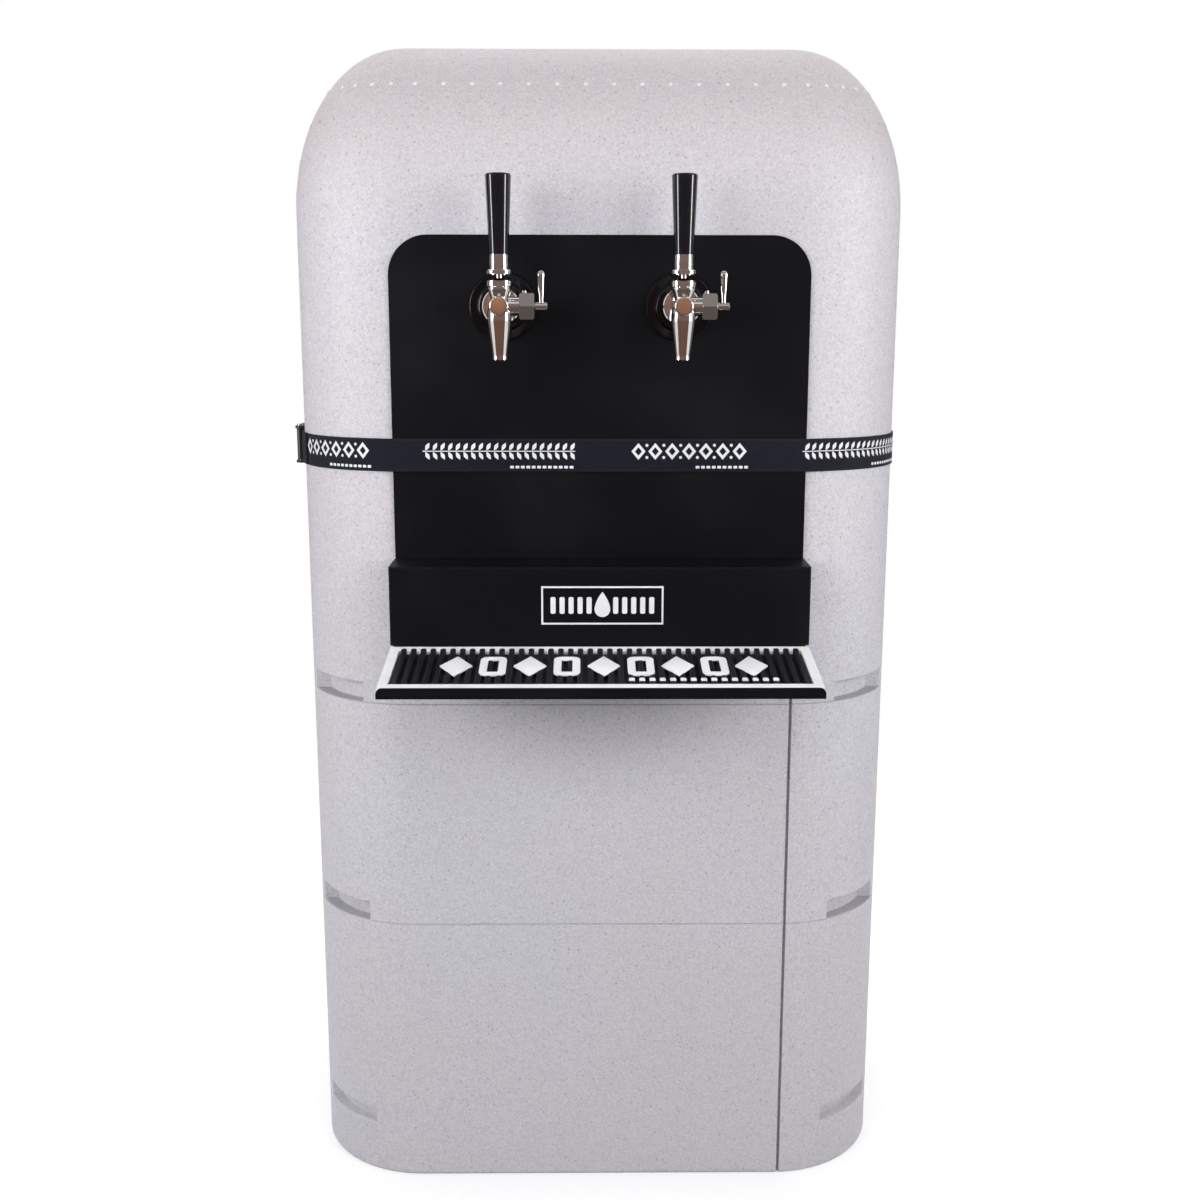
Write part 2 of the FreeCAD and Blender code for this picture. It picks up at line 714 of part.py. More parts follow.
def bent_tube(radius, bend, start, toward, run, end_z):
    """Solid tube that leaves start towards a level direction, then bends up or down to end_z."""
    rise = UP if end_z > start.z else -UP
    straight_end = start + toward * run
    centre = straight_end + rise * bend
    middle = centre + (toward - rise) * (bend * eighth_turn)
    upright = centre + toward * bend
    path = Part.Wire([Part.LineSegment(start, straight_end).toShape(),
                      Part.Arc(straight_end, middle, upright).toShape(),
                      Part.LineSegment(upright, V(upright.x, upright.y, end_z)).toShape()])
    profile = Part.Wire([Part.Circle(start, toward, radius).toShape()])
    return path.makePipeShell([profile], True, True)


def tail_exit():
    """Place in the YZ plane where the hose meets the elbow's foot."""
    y = shank_rear + tail_nut_height - elbow_flange + elbow_bend
    return y, tap_height - elbow_bend - barb_length


def shank_tail(x):
    """Elbow tail piece: flange on the shank's end, bend and downward nipple."""
    exit_y, exit_z = tail_exit()
    flange = rod(elbow_flange_radius, elbow_flange, V(x, shank_rear, tap_height), REARWARD)
    elbow = bent_tube(elbow_radius, elbow_bend, V(x, shank_rear + elbow_flange / 2, tap_height),
                      REARWARD, exit_y - elbow_bend - shank_rear - elbow_flange / 2, exit_z)
    return flange.fuse(elbow)


def tail_nut(x):
    base = V(x, shank_rear + elbow_flange + tail_nut_lip - tail_nut_height, tap_height)
    nut = hex_prism(tail_nut_flats, tail_nut_height, base, REARWARD)
    main = rod(shank_radius + thread_clearance, tail_nut_height - tail_nut_lip, base, REARWARD)
    neck = rod(elbow_radius + hole_clearance, 2 * tail_nut_height, base, REARWARD)
    return nut.cut([main, neck])


# ================================================================ faucet
def faucet_body(x):
    """Barrel with front nose, spout bulb, ball cup and the arm for the flow control."""
    collar_y = plate_front - shank_nose_end
    barrel_length = collar_y - (spout_axis_y - barrel_nose)
    nose_flat = barrel_radius - barrel_nose_round
    diagonal = barrel_nose_round * eighth_turn
    barrel = turned([(0, 0), (barrel_collar_radius, 0), (barrel_collar_radius, barrel_collar),
                     (barrel_radius, barrel_collar), (barrel_radius, barrel_length - barrel_nose_round),
                     (nose_flat + diagonal, barrel_length - barrel_nose_round + diagonal,
                      nose_flat, barrel_length), (0, barrel_length)],
                    V(x, collar_y, tap_height), FORWARD)
    axis = V(x, spout_axis_y, tap_height)
    dome = bulb_radius * eighth_turn
    bulb = turned([(0, -bulb_bottom), (bulb_radius, -bulb_bottom), (bulb_radius, -bulb_shoulder),
                   (dome, bulb_top - (bulb_top + bulb_shoulder) * (1 - eighth_turn), 0, bulb_top)],
                  axis)
    waist_z = pivot_rise - neck_waist_drop
    neck = turned([(0, 0), (neck_waist_radius, 0), (neck_waist_radius, waist_z),
                   (neck_top_radius, pivot_rise - 2 * neck_bevel), (neck_top_radius, pivot_rise),
                   (0, pivot_rise)], axis)
    arm = rod(flow_arm_radius, flow_arm_end, V(x, flow_axis_y, tap_height), RIGHT)
    spigot = rod(flow_spigot_radius, flow_spigot_length,
                 V(x + flow_arm_end, flow_axis_y, tap_height), RIGHT)
    body = barrel.multiFuse([bulb, neck, arm, spigot]).removeSplitter()
    bore_front = spout_axis_y - barrel_nose + barrel_nose_wall
    chamber_y = spout_axis_y + chamber_start
    slot_half = lever_pin_radius + lever_pin_clearance
    cutters = [
        rod(barrel_bore, chamber_y - bore_front + cut_margin, V(x, bore_front, tap_height), REARWARD),
        rod(chamber_bore, collar_y - chamber_y + cut_margin, V(x, chamber_y, tap_height), REARWARD),
        rod(spout_top_bore, bulb_bottom + cut_margin,
            V(x, spout_axis_y, tap_height - bulb_bottom - cut_margin), UP),
        Part.makeSphere(ball_radius + ball_clearance, V(x, spout_axis_y, pivot_z)),
        block(x - slot_half, x + slot_half, spout_axis_y - slot_half - hole_clearance,
              spout_axis_y + lever_pin_swing + slot_half, tap_height, pivot_z),
        rod(flow_spindle_radius + hinge_clearance, flow_arm_end + flow_spigot_length + cut_margin,
            V(x, flow_axis_y, tap_height), RIGHT)]
    return body.cut(cutters)


def faucet_spout(x):
    """Tapered spout that screws into the bulb, with a straight land and soft lip at its tip."""
    top = bulb_radius
    land = spout_tip_land
    lip = spout_lip_round
    outline = [(spout_bore, -spout_length + lip), (spout_bore + lip / 2, -spout_length),
               (spout_tip_radius - lip, -spout_length), (spout_tip_radius, -spout_length + lip),
               (spout_tip_radius, -spout_length + land), (top, 0), (spout_top_bore, 0),
               (spout_bore, -spout_length + spout_straight_bore)]
    return turned(outline, V(x, spout_axis_y, tap_height - bulb_bottom))


def faucet_bonnet(x):
    """Domed ring that keeps the lever's ball in its cup, with a mouth for the stem's swing."""
    seat = ball_radius + ball_clearance
    low = bonnet_gap
    seat_low = math.sqrt(seat ** 2 - low ** 2)
    middle = (low + bonnet_seat_top) / 2
    seat_middle = math.sqrt(seat ** 2 - middle ** 2)
    seat_high = math.sqrt(seat ** 2 - bonnet_seat_top ** 2)
    outline = [(seat_low, low), (bonnet_radius - bonnet_gap, low), (bonnet_radius, 2 * low),
               (bonnet_radius, bonnet_side_top), (bonnet_top_radius, bonnet_top),
               (bonnet_mouth_radius, bonnet_top), (seat_high, bonnet_seat_top),
               (seat_middle, middle, seat_low, low)]
    return turned(outline, V(x, spout_axis_y, pivot_z))


def tap_lever(x):
    """Ball with a pin below, a stem above, the collar and the stud for the handle."""
    collar = lever_collar_rise
    rim = lever_collar_round
    top = collar + lever_collar_height
    pivot = V(x, spout_axis_y, pivot_z)
    ball = Part.makeSphere(ball_radius, pivot)
    pin = turned([(0, -lever_pin_length), (lever_pin_radius / 2, -lever_pin_length),
                  (lever_pin_radius, -lever_pin_length + lever_pin_radius / 2),
                  (lever_pin_radius, 0), (0, 0)], pivot)
    stem = turned([(0, 0), (lever_stem_radius, 0), (lever_stem_radius, collar),
                   (lever_collar_radius - rim, collar), (lever_collar_radius, collar + rim),
                   (lever_collar_radius, top - rim), (lever_collar_radius - rim, top),
                   (lever_stud_radius, top), (lever_stud_radius, top + lever_stud_length),
                   (0, top + lever_stud_length)], pivot)
    return ball.multiFuse([pin, stem]).removeSplitter()


def lever_seat():
    """Height of the collar's upper face, where the handle stands."""
    return pivot_z + lever_collar_rise + lever_collar_height


def handle_ferrule(x):
    hole = lever_stud_radius + thread_clearance
    foot = ferrule_radius - ferrule_gap
    outline = [(hole, 0), (foot, 0), (ferrule_radius, ferrule_height / 2), (foot, ferrule_height),
               (hole, ferrule_height)]
    return turned(outline, V(x, spout_axis_y, lever_seat()))


def tap_handle(x):
    """Tapered grip with a soft top rim and a blind hole for the stud."""
    hole = lever_stud_radius + thread_clearance
    depth = lever_stud_length - ferrule_height + cut_margin
    rim = handle_top_round
    diagonal = rim * (1 - eighth_turn)
    outline = [(hole, 0), (handle_foot_radius, 0), (handle_top_radius, handle_height - rim),
               (handle_top_radius - diagonal, handle_height - diagonal,
                handle_top_radius - rim, handle_height),
               (0, handle_height), (0, depth), (hole, depth)]
    return turned(outline, V(x, spout_axis_y, lever_seat() + ferrule_height))


def faucet_plunger(x):
    """Shaft that the lever's pin pushes rearwards: front land, groove, seal and guide cross."""
    half = plunger_groove / 2
    land, core = plunger_land_radius, plunger_core_radius
    seal_end = plunger_seal_start + plunger_seal_length
    guide_end = plunger_guide_start + plunger_guide_length
    outline = [(0, -half - 2 * plunger_land), (land, -half - 2 * plunger_land), (land, -half),
               (core, -half), (core, half), (land, half), (land, half + plunger_land),
               (core, half + plunger_land), (core, plunger_seal_start),
               (plunger_seal_radius, plunger_seal_start), (plunger_seal_radius, seal_end),
               (core, seal_end), (core, guide_end), (0, guide_end)]
    axis = V(x, spout_axis_y, tap_height)
    shaft = turned(outline, axis, REARWARD)
    width, reach = plunger_guide_width / 2, plunger_guide_radius - plunger_guide_width / 4
    y_low, y_high = spout_axis_y + plunger_guide_start, spout_axis_y + guide_end
    across = block(x - reach, x + reach, y_low, y_high, tap_height - width, tap_height + width)
    upright = block(x - width, x + width, y_low, y_high, tap_height - reach, tap_height + reach)
    return shaft.multiFuse([across, upright]).removeSplitter()


# ================================================================ flow control
def flow_housing(x):
    """Hexagonal packing nut on the arm's spigot, with a small stop nub on top."""
    start = x + flow_arm_end
    nut = hex_prism(flow_housing_flats, flow_housing_length, V(0, 0, 0), UP)
    corner = flow_housing_flats / math.sqrt(3)
    trim = turned([(0, 0), (corner - flow_housing_bevel, 0), (corner, flow_housing_bevel),
                   (corner, flow_housing_length - flow_housing_bevel),
                   (corner - flow_housing_bevel, flow_housing_length), (0, flow_housing_length)],
                  V(0, 0, 0))
    nut = nut.common(trim)
    nut.rotate(V(0, 0, 0), V(0, 1, 0), 90)
    nut.rotate(V(0, 0, 0), RIGHT, 90)
    nut.translate(V(start, flow_axis_y, tap_height))
    nub_foot = tap_height + flow_housing_flats / 2 - cut_margin
    nub = rod(flow_nub_radius, flow_nub_height + cut_margin,
              V(start + flow_housing_length / 3, flow_axis_y, nub_foot))
    cutters = [rod(flow_spigot_radius + thread_clearance, flow_spigot_length + thread_clearance,
                   V(start, flow_axis_y, tap_height), RIGHT),
               rod(flow_spindle_radius + hinge_clearance, flow_housing_length + cut_margin,
                   V(start, flow_axis_y, tap_height), RIGHT)]
    return nut.fuse(nub).cut(cutters)


def flow_lever(x):
    """Spindle, hub and drop-shaped lever that stands up from the hub."""
    housing_end = x + flow_arm_end + flow_housing_length
    hub_start = housing_end + flow_hub_gap
    spindle = rod(flow_spindle_radius, hub_start - x - flow_spindle_start + cut_margin,
                  V(x + flow_spindle_start, flow_axis_y, tap_height), RIGHT)
    bevel = flow_hub_bevel
    hub = turned([(0, 0), (flow_hub_radius - bevel, 0), (flow_hub_radius, bevel),
                  (flow_hub_radius, flow_hub_length - bevel),
                  (flow_hub_radius - bevel, flow_hub_length), (0, flow_hub_length)],
                 V(hub_start, flow_axis_y, tap_height), RIGHT)
    head, foot, length = flow_lever_head_radius, flow_lever_foot_radius, flow_lever_length
    centre = length - head
    grip = turned([(0, 0), (foot, 0), (foot, flow_hub_radius), (head, centre),
                   (head * eighth_turn, centre + head * eighth_turn, 0, length)],
                  V(hub_start + flow_lever_inset, flow_axis_y, tap_height))
    return spindle.multiFuse([hub, grip]).removeSplitter()


# ================================================================ beer circuit
def to_side(shape, side):
    """The right-hand shape itself, or its mirror image for the left."""
    return shape if side == "right" else shape.mirror(V(0, 0, 0), RIGHT)


def cold_plate():
    """Cast block with ridges over its tube passes and a socketed boss at each port."""
    half_x, half_y = chill_width / 2, chill_depth / 2
    outline = rounded_outline(chill_width, chill_depth, chill_corner, 0)
    plate = Part.Face(outline).extrude(V(0, 0, chill_height))
    plate = plate.makeFillet(chill_edge_round, edges_at(plate, 0) + edges_at(plate, chill_height))
    ridge_z = chill_height + chill_ridge_rise - chill_ridge_radius
    count = int((chill_depth - 2 * chill_ridge_inset) // chill_ridge_pitch) + 1
    first = -(count - 1) * chill_ridge_pitch / 2
    ridges = [rod(chill_ridge_radius, chill_width - 2 * chill_ridge_inset,
                  V(chill_ridge_inset - half_x, first + i * chill_ridge_pitch, ridge_z), RIGHT)
              for i in range(count)]
    bosses = []
    sockets = []
    for x in (-port_x, port_x):
        for toward in (FORWARD, REARWARD):
            face = V(x, 0, chill_height / 2) + toward * half_y
            bosses.append(rod(chill_boss_radius, chill_boss_length + chill_edge_round,
                              face - toward * chill_edge_round, toward))
            sockets.append(rod(tube_radius + thread_clearance, chill_socket_depth + cut_margin,
                               face + toward * (chill_boss_length - chill_socket_depth), toward))
    plate = plate.multiFuse(ridges + bosses).removeSplitter().cut(sockets)
    plate.translate(V(0, chill_centre_y, chill_bottom))
    return plate


def cold_plate_feet():
    """Four round feet that hold the plate clear of the meltwater."""
    reach_x, reach_y = chill_width / 2 - chill_foot_inset, chill_depth / 2 - chill_foot_inset
    return Part.makeCompound([rod(chill_foot_radius, chill_foot_height,
                                  V(sx * reach_x, chill_centre_y + sy * reach_y, foam_floor))
                              for sx, sy in PLAN_CORNERS])


def inlet_tube(side):
    """Straight tube from the rear bulkhead to the plate's rear boss."""
    start = chill_rear + chill_boss_length - chill_socket_depth
    end = inner_rear - bulkhead_inner_length + bulkhead_socket_depth
    return to_side(rod(tube_radius, end - start, V(port_x, start, port_z), REARWARD), side)


def riser_tube(side):
    """Outlet tube: out of the plate's front boss, one bend and a long upright stem."""
    start = V(port_x, chill_front - chill_boss_length + chill_socket_depth, port_z)
    return to_side(bent_tube(tube_radius, riser_bend, start, FORWARD, chill_socket_depth + riser_run,
                             riser_top), side)


def inlet_bulkhead(side):
    """Fitting through the rear wall: inner socket and flange, body, outer thread."""
    flange_radius = bulkhead_radius + bulkhead_nut_height
    inner = -bulkhead_inner_length
    outer = foam_wall + bulkhead_hex_height + bulkhead_thread_length
    socket = tube_radius + thread_clearance
    outline = [(socket, inner), (bulkhead_radius, inner), (bulkhead_radius, -bulkhead_nut_height),
               (flange_radius, -bulkhead_nut_height), (flange_radius, 0), (bulkhead_radius, 0),
               (bulkhead_radius, foam_wall + bulkhead_hex_height),
               (bulkhead_thread_radius, foam_wall + bulkhead_hex_height),
               (bulkhead_thread_radius, outer), (bulkhead_bore, outer),
               (bulkhead_bore, inner + bulkhead_socket_depth + thread_clearance),
               (socket, inner + bulkhead_socket_depth + thread_clearance)]
    return to_side(turned(outline, V(port_x, inner_rear, port_z), REARWARD), side)


def inlet_lock_nuts():
    nuts = []
    for x in (-port_x, port_x):
        base = V(x, rear_face, port_z)
        nut = hex_prism(bulkhead_hex_flats, bulkhead_hex_height, base, REARWARD)
        bore = rod(bulkhead_radius + thread_clearance, 3 * bulkhead_hex_height,
                   base - REARWARD * bulkhead_hex_height, REARWARD)
        nuts.append(nut.cut(bore))
    return Part.makeCompound(nuts)


def riser_place(side):
    sign = 1 if side == "right" else -1
    return V(sign * port_x, chill_front - chill_boss_length - riser_run - riser_bend, riser_top)


def quick_coupler(side):
    """Push-on socket over the riser's end, with a release sleeve and a hose nipple."""
    hole = tube_radius + hinge_clearance
    sleeve_low = -coupler_below + coupler_sleeve_start
    sleeve_high = sleeve_low + coupler_sleeve_length
    bevel = (coupler_sleeve_radius - coupler_radius) / 2
    outline = [(hole, -coupler_below), (coupler_radius - bevel, -coupler_below),
               (coupler_radius, -coupler_below + bevel), (coupler_radius, sleeve_low),
               (coupler_sleeve_radius, sleeve_low + bevel), (coupler_sleeve_radius, sleeve_high - bevel),
               (coupler_radius, sleeve_high), (coupler_radius, coupler_above - bevel),
               (coupler_radius - bevel, coupler_above), (barb_radius, coupler_above),
               (barb_radius, coupler_above + barb_length), (0, coupler_above + barb_length),
               (0, coupler_end_clearance), (hole, coupler_end_clearance)]
    return turned(outline, riser_place(side))


def hose_route(side):
    """Points of the beer line from the tail piece down to the coupler."""
    exit_y, exit_z = tail_exit()
    top = V(tap_places[side], exit_y, exit_z)
    foot = riser_place(side) + V(0, 0, coupler_above + barb_length)
    bends = [top + V(share * (foot.x - top.x), share * (foot.y - top.y), drop)
             for share, drop in HOSE_BENDS]
    return [top] + bends + [foot + V(0, 0, hose_last_run), foot]


def hose_path(points):
    """Straight runs joined by tangent arcs, each as large as its two runs allow."""
    edges = []
    radii = []
    last = points[0]
    for before, corner, after in zip(points, points[1:], points[2:]):
        run_in, run_out = corner - before, after - corner
        turn = run_in.getAngle(run_out)
        radius = hose_bend_share * min(run_in.Length, run_out.Length) / math.tan(turn / 2)
        back_off = radius * math.tan(turn / 2)
        start = corner - run_in.normalize() * back_off
        end = corner + run_out.normalize() * back_off
        chord_middle = (start + end) * 0.5
        inward = (chord_middle - corner).normalize()
        sagitta = radius / math.cos(turn / 2) - radius
        edges.append(Part.LineSegment(last, start).toShape())
        edges.append(Part.Arc(start, corner + inward * sagitta, end).toShape())
        radii.append(radius)
        last = end
    edges.append(Part.LineSegment(last, points[-1]).toShape())
    return Part.Wire(edges), radii


def beer_line(side):
    path, radii = hose_path(hose_route(side))
    first = path.Edges[0]
    profile = Part.Wire([Part.Circle(first.firstVertex().Point, first.tangentAt(first.FirstParameter),
                                     hose_radius).toShape()])
    hose = path.makePipeShell([profile], True, True)
    expected = math.pi * hose_radius ** 2 * path.Length
    print("beer line", side, "length %.1f" % path.Length, "radii", [round(r, 1) for r in radii],
          "volume ratio %.4f" % (hose.Volume / expected))
    return hose


def hose_clamps():
    """Ear clamps at both ends of both beer lines."""
    clamps = []
    inner = hose_radius + clamp_clearance
    outer = inner + clamp_thickness
    for side in ("left", "right"):
        points = hose_route(side)
        for base, toward in ((points[0], points[1]), (points[-1], points[-2])):
            axis = (toward - base).normalize()
            start = base + axis * clamp_inset
            ring = rod(outer, clamp_width, start, axis).cut(rod(inner, clamp_width, start, axis))
            ear = block(-clamp_thickness, clamp_thickness, outer - clamp_thickness / 2,
                        outer + clamp_ear, 0, clamp_width)
            clamps.append(ring.fuse(place(ear, start, axis)).removeSplitter())
    return Part.makeCompound(clamps)


def drain_plug():
    """Rubber bung in the rear wall with a head outside and a tapered nose inside."""
    taper = drain_taper
    outline = [(0, -taper), (drain_radius - taper, -taper), (drain_radius, taper),
               (drain_radius, foam_wall), (drain_head_radius - taper, foam_wall),
               (drain_head_radius, foam_wall + taper), (drain_head_radius, foam_wall + drain_head),
               (0, foam_wall + drain_head)]
    return turned(outline, V(drain_x, inner_rear, drain_z), REARWARD)


# ================================================================ build and export
def export(name, shape):
    shape.exportStep(os.path.join("parts", name + ".step"))
    print("%-24s solids %d valid %s volume %.1f" % (name, len(shape.Solids), shape.isValid(), shape.Volume))


SINGLE_PIECES = {
    "base_tub": base_tub,
    "middle_ring": middle_ring,
    "hood_shell": hood_shell,
    "tap_plate": tap_plate,
    "shelf_box": shelf_box,
    "drip_tray": drip_tray,
    "bar_mat": bar_mat,
    "mat_border": mat_border,
    "strap": strap,
    "buckle_frame": buckle_frame,
    "buckle_pin": buckle_pin,
    "buckle_lever": buckle_lever,
    "cold_plate": cold_plate,
    "cold_plate_feet": cold_plate_feet,
    "inlet_lock_nuts": inlet_lock_nuts,
    "hose_clamps": hose_clamps,
    "drain_plug": drain_plug,
}

TAP_PIECES = {
    "shank": shank,
    "shank_flange": shank_flange,
    "shank_lock_nut": shank_lock_nut,
    "coupling_nut": coupling_nut,
    "shank_tail": shank_tail,
    "tail_nut": tail_nut,
    "faucet_body": faucet_body,
    "faucet_spout": faucet_spout,
    "faucet_bonnet": faucet_bonnet,
    "tap_lever": tap_lever,
    "handle_ferrule": handle_ferrule,
    "tap_handle": tap_handle,
    "faucet_plunger": faucet_plunger,
    "flow_housing": flow_housing,
    "flow_lever": flow_lever,
}

SIDED_PIECES = {
    "inlet_tube": inlet_tube,
    "riser_tube": riser_tube,
    "inlet_bulkhead": inlet_bulkhead,
    "quick_coupler": quick_coupler,
    "beer_line": beer_line,
}

for name, make in SINGLE_PIECES.items():
    export(name, make())
for side, tap_x in tap_places.items():
    for name, make in TAP_PIECES.items():
        export(name + "_" + side, make(tap_x))
    for name, make in SIDED_PIECES.items():
        export(name + "_" + side, make(side))
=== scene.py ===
"""Looks of a jockey box beer cooler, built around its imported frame.

Metres, +Z up, the front faces -Y. The foam body, sheet-metal front, bar mat, girth strap,
taps and beer circuit are classes that hold their sizes, shape their extra pieces and give
every node its finish.
"""

import logging
import math
from collections.abc import Callable, Iterable
from dataclasses import dataclass
from enum import Enum

import bmesh
import bpy
from mathutils import Matrix, Vector


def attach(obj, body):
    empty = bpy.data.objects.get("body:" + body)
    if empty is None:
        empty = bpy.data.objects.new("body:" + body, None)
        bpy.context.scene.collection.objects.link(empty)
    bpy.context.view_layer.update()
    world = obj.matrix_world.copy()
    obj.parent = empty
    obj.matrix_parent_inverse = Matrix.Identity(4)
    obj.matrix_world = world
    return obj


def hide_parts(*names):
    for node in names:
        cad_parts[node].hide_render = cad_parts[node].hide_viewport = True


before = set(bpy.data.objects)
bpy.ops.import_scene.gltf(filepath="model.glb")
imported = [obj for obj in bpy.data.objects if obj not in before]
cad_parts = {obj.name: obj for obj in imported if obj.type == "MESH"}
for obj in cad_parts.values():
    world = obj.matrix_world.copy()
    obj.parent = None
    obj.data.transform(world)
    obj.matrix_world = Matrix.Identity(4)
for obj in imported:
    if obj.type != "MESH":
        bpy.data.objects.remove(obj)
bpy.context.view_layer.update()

LOG = logging.getLogger("beer_cooler")
MM = 0.001
Colour = tuple[float, float, float]
Triple = tuple[float, float, float]
Pair = tuple[float, float]
Span = tuple[float, float, float, float]    # from, to, result at from, result at to
Waves = tuple[float, float]                 # waves per metre, octaves
Relief = tuple[float, float]                # depth in metres, share of it that shows
Wear = tuple[float, float]                  # waves per metre, change of roughness
FacePicker = Callable[[Vector, Vector], bool]
SWING: Span = (-1.0, 1.0, 0.0, 1.0)         # a sine's whole swing
FACING = 0.9                                # cosine from which a face counts as facing a way


class Side(Enum):
    """The two taps and their beer lines."""

    LEFT = "left"
    RIGHT = "right"


class Body(Enum):
    """The moving bodies that new pieces ride on."""

    HOOD = "hood"
    MAT = "mat"


class Slot(Enum):
    """Names of the record's material slots, passed along with new pieces."""

    FOAM = "foam"
    SHEET = "sheet_black"
    MAT_BLACK = "mat_black"
    MAT_WHITE = "mat_white"
    WEBBING = "webbing"
    BUCKLE = "buckle_black"
    DARK_STEEL = "dark_steel"


# ------------------------------------------------------------------ shader nodes
def background_rays(tree: bpy.types.NodeTree) -> bpy.types.NodeSocket:
    """Find the rays that see the background, mirror it or pass through to it.

    Args:
        tree: Where the nodes are added.

    Returns:
        1 for camera, glossy and transmission rays, else 0.
    """
    path = tree.nodes.new("ShaderNodeLightPath")
    seen = path.outputs["Is Camera Ray"]
    for ray in ("Is Glossy Ray", "Is Transmission Ray"):
        either = tree.nodes.new("ShaderNodeMath")
        either.operation = "MAXIMUM"
        tree.links.new(seen, either.inputs[0])
        tree.links.new(path.outputs[ray], either.inputs[1])
        seen = either.outputs[0]
    return seen


class NodeBench:
    """Node tree of one material, with short calls that add and link its nodes."""

    MIXED_COLOURS = (6, 7)
    MIXED_RESULT = 2

    def __init__(self, name: str) -> None:
        """Start an empty tree with one principled shader.

        Args:
            name: The material's name.
        """
        self.material = bpy.data.materials.new(name)
        self.material.use_nodes = True
        self.tree = self.material.node_tree
        self.tree.nodes.clear()
        self.out = self.add("ShaderNodeOutputMaterial")
        self.shader = self.add("ShaderNodeBsdfPrincipled")
        self.tree.links.new(self.shader.outputs["BSDF"], self.out.inputs["Surface"])

    def add(self, kind: str, **settings: object) -> bpy.types.Node:
        """Add a node and set its properties.

        Args:
            kind: The node's type name.
            settings: Properties to set on it.

        Returns:
            The new node.
        """
        node = self.tree.nodes.new(kind)
        for key, value in settings.items():
            setattr(node, key, value)
        return node

    def feed(self, node: bpy.types.Node, socket: str | int, value: object) -> None:
        """Link a socket to an input, or set the input to a constant.

        Args:
            node: The node that takes the value.
            socket: The input's name or number.
            value: An output socket or a constant.
        """
        target = node.inputs[socket]
        if isinstance(value, bpy.types.NodeSocket):
            self.tree.links.new(value, target)
        else:
            target.default_value = value

    def shade(self, socket: str, value: object) -> None:
        """Give the shader a constant or a pattern on one of its inputs."""
        self.feed(self.shader, socket, value)

    def place(self) -> bpy.types.NodeSocket:
        """Object coordinates, in metres."""
        return self.add("ShaderNodeTexCoord").outputs["Object"]

    def uv(self, name: str) -> bpy.types.NodeSocket:
        """Coordinates of a named UV map."""
        return self.add("ShaderNodeUVMap", uv_map=name).outputs["UV"]

    def mapped(self, vector: object, move: Triple = (0, 0, 0),
               scale: Triple = (1, 1, 1)) -> bpy.types.NodeSocket:
        """Move and scale coordinates.

        Args:
            vector: The coordinates.
            move: What is added to them.
            scale: Factor on each axis, applied first.

        Returns:
            The new coordinates.
        """
        node = self.add("ShaderNodeMapping")
        for socket, value in (("Vector", vector), ("Location", move), ("Scale", scale)):
            self.feed(node, socket, value)
        return node.outputs["Vector"]

    def axes(self, vector: object) -> tuple[bpy.types.NodeSocket, ...]:
        """Take a vector apart.

        Args:
            vector: The vector or colour.

        Returns:
            Its X, Y and Z.
        """
        node = self.add("ShaderNodeSeparateXYZ")
        self.feed(node, 0, vector)
        return tuple(node.outputs)

    def reckon(self, operation: str, first: object, second: object = None) -> bpy.types.NodeSocket:
        """One step of arithmetic.

        Args:
            operation: The math node's operation.
            first: Socket or number.
            second: Socket or number, where the operation takes two.

        Returns:
            The result.
        """
        node = self.add("ShaderNodeMath", operation=operation)
        self.feed(node, 0, first)
        if second is not None:
            self.feed(node, 1, second)
        return node.outputs[0]

    def distance(self, first: object, second: object) -> bpy.types.NodeSocket:
        """Distance of a point from zero in a plane.

        Args:
            first: One of its coordinates.
            second: The other.

        Returns:
            The distance.
        """
        squares = (self.reckon("MULTIPLY", part, part) for part in (first, second))
        return self.reckon("SQRT", self.reckon("ADD", *squares))

    def span(self, value: object, low: float, high: float, to_low: float,
             to_high: float) -> bpy.types.NodeSocket:
        """Map one range to another, held at its ends.

        Args:
            value: Socket to map.
            low: Start of the range.
            high: End of the range.
            to_low: Result at the start.
            to_high: Result at the end.

        Returns:
            The mapped value.
        """
        node = self.add("ShaderNodeMapRange", interpolation_type="SMOOTHSTEP")
        for number, item in enumerate((value, low, high, to_low, to_high)):
            self.feed(node, number, item)
        return node.outputs[0]

    def noise(self, vector: object, wave: float, detail: float,
              output: int = 0) -> bpy.types.NodeSocket:
        """Soft noise around 0.5.

        Args:
            vector: Coordinates.
            wave: Waves per metre.
            detail: Octaves.
            output: 0 for a value, 1 for a colour.

        Returns:
            The noise.
        """
        node = self.add("ShaderNodeTexNoise")
        for socket, value in (("Vector", vector), ("Scale", wave), ("Detail", detail)):
            self.feed(node, socket, value)
        return node.outputs[output]

    def cells(self, vector: object, size: float, feature: str = "F1") -> bpy.types.Node:
        """Voronoi cells.

        Args:
            vector: Coordinates.
            size: A cell's size in metres.
            feature: F1 or DISTANCE_TO_EDGE.

        Returns:
            The texture node.
        """
        node = self.add("ShaderNodeTexVoronoi", feature=feature)
        self.feed(node, "Vector", vector)
        self.feed(node, "Scale", 1 / size)
        return node

    def blend(self, share: object, first: object, second: object) -> bpy.types.NodeSocket:
        """Mix two colours.

        Args:
            share: How much of the second, 0 to 1.
            first: Colour or socket.
            second: Colour or socket.

        Returns:
            The mixed colour.
        """
        node = self.add("ShaderNodeMix", data_type="RGBA")
        self.feed(node, 0, share)
        for socket, colour in zip(self.MIXED_COLOURS, (first, second)):
            self.feed(node, socket, (*colour, 1.0) if isinstance(colour, tuple) else colour)
        return node.outputs[self.MIXED_RESULT]

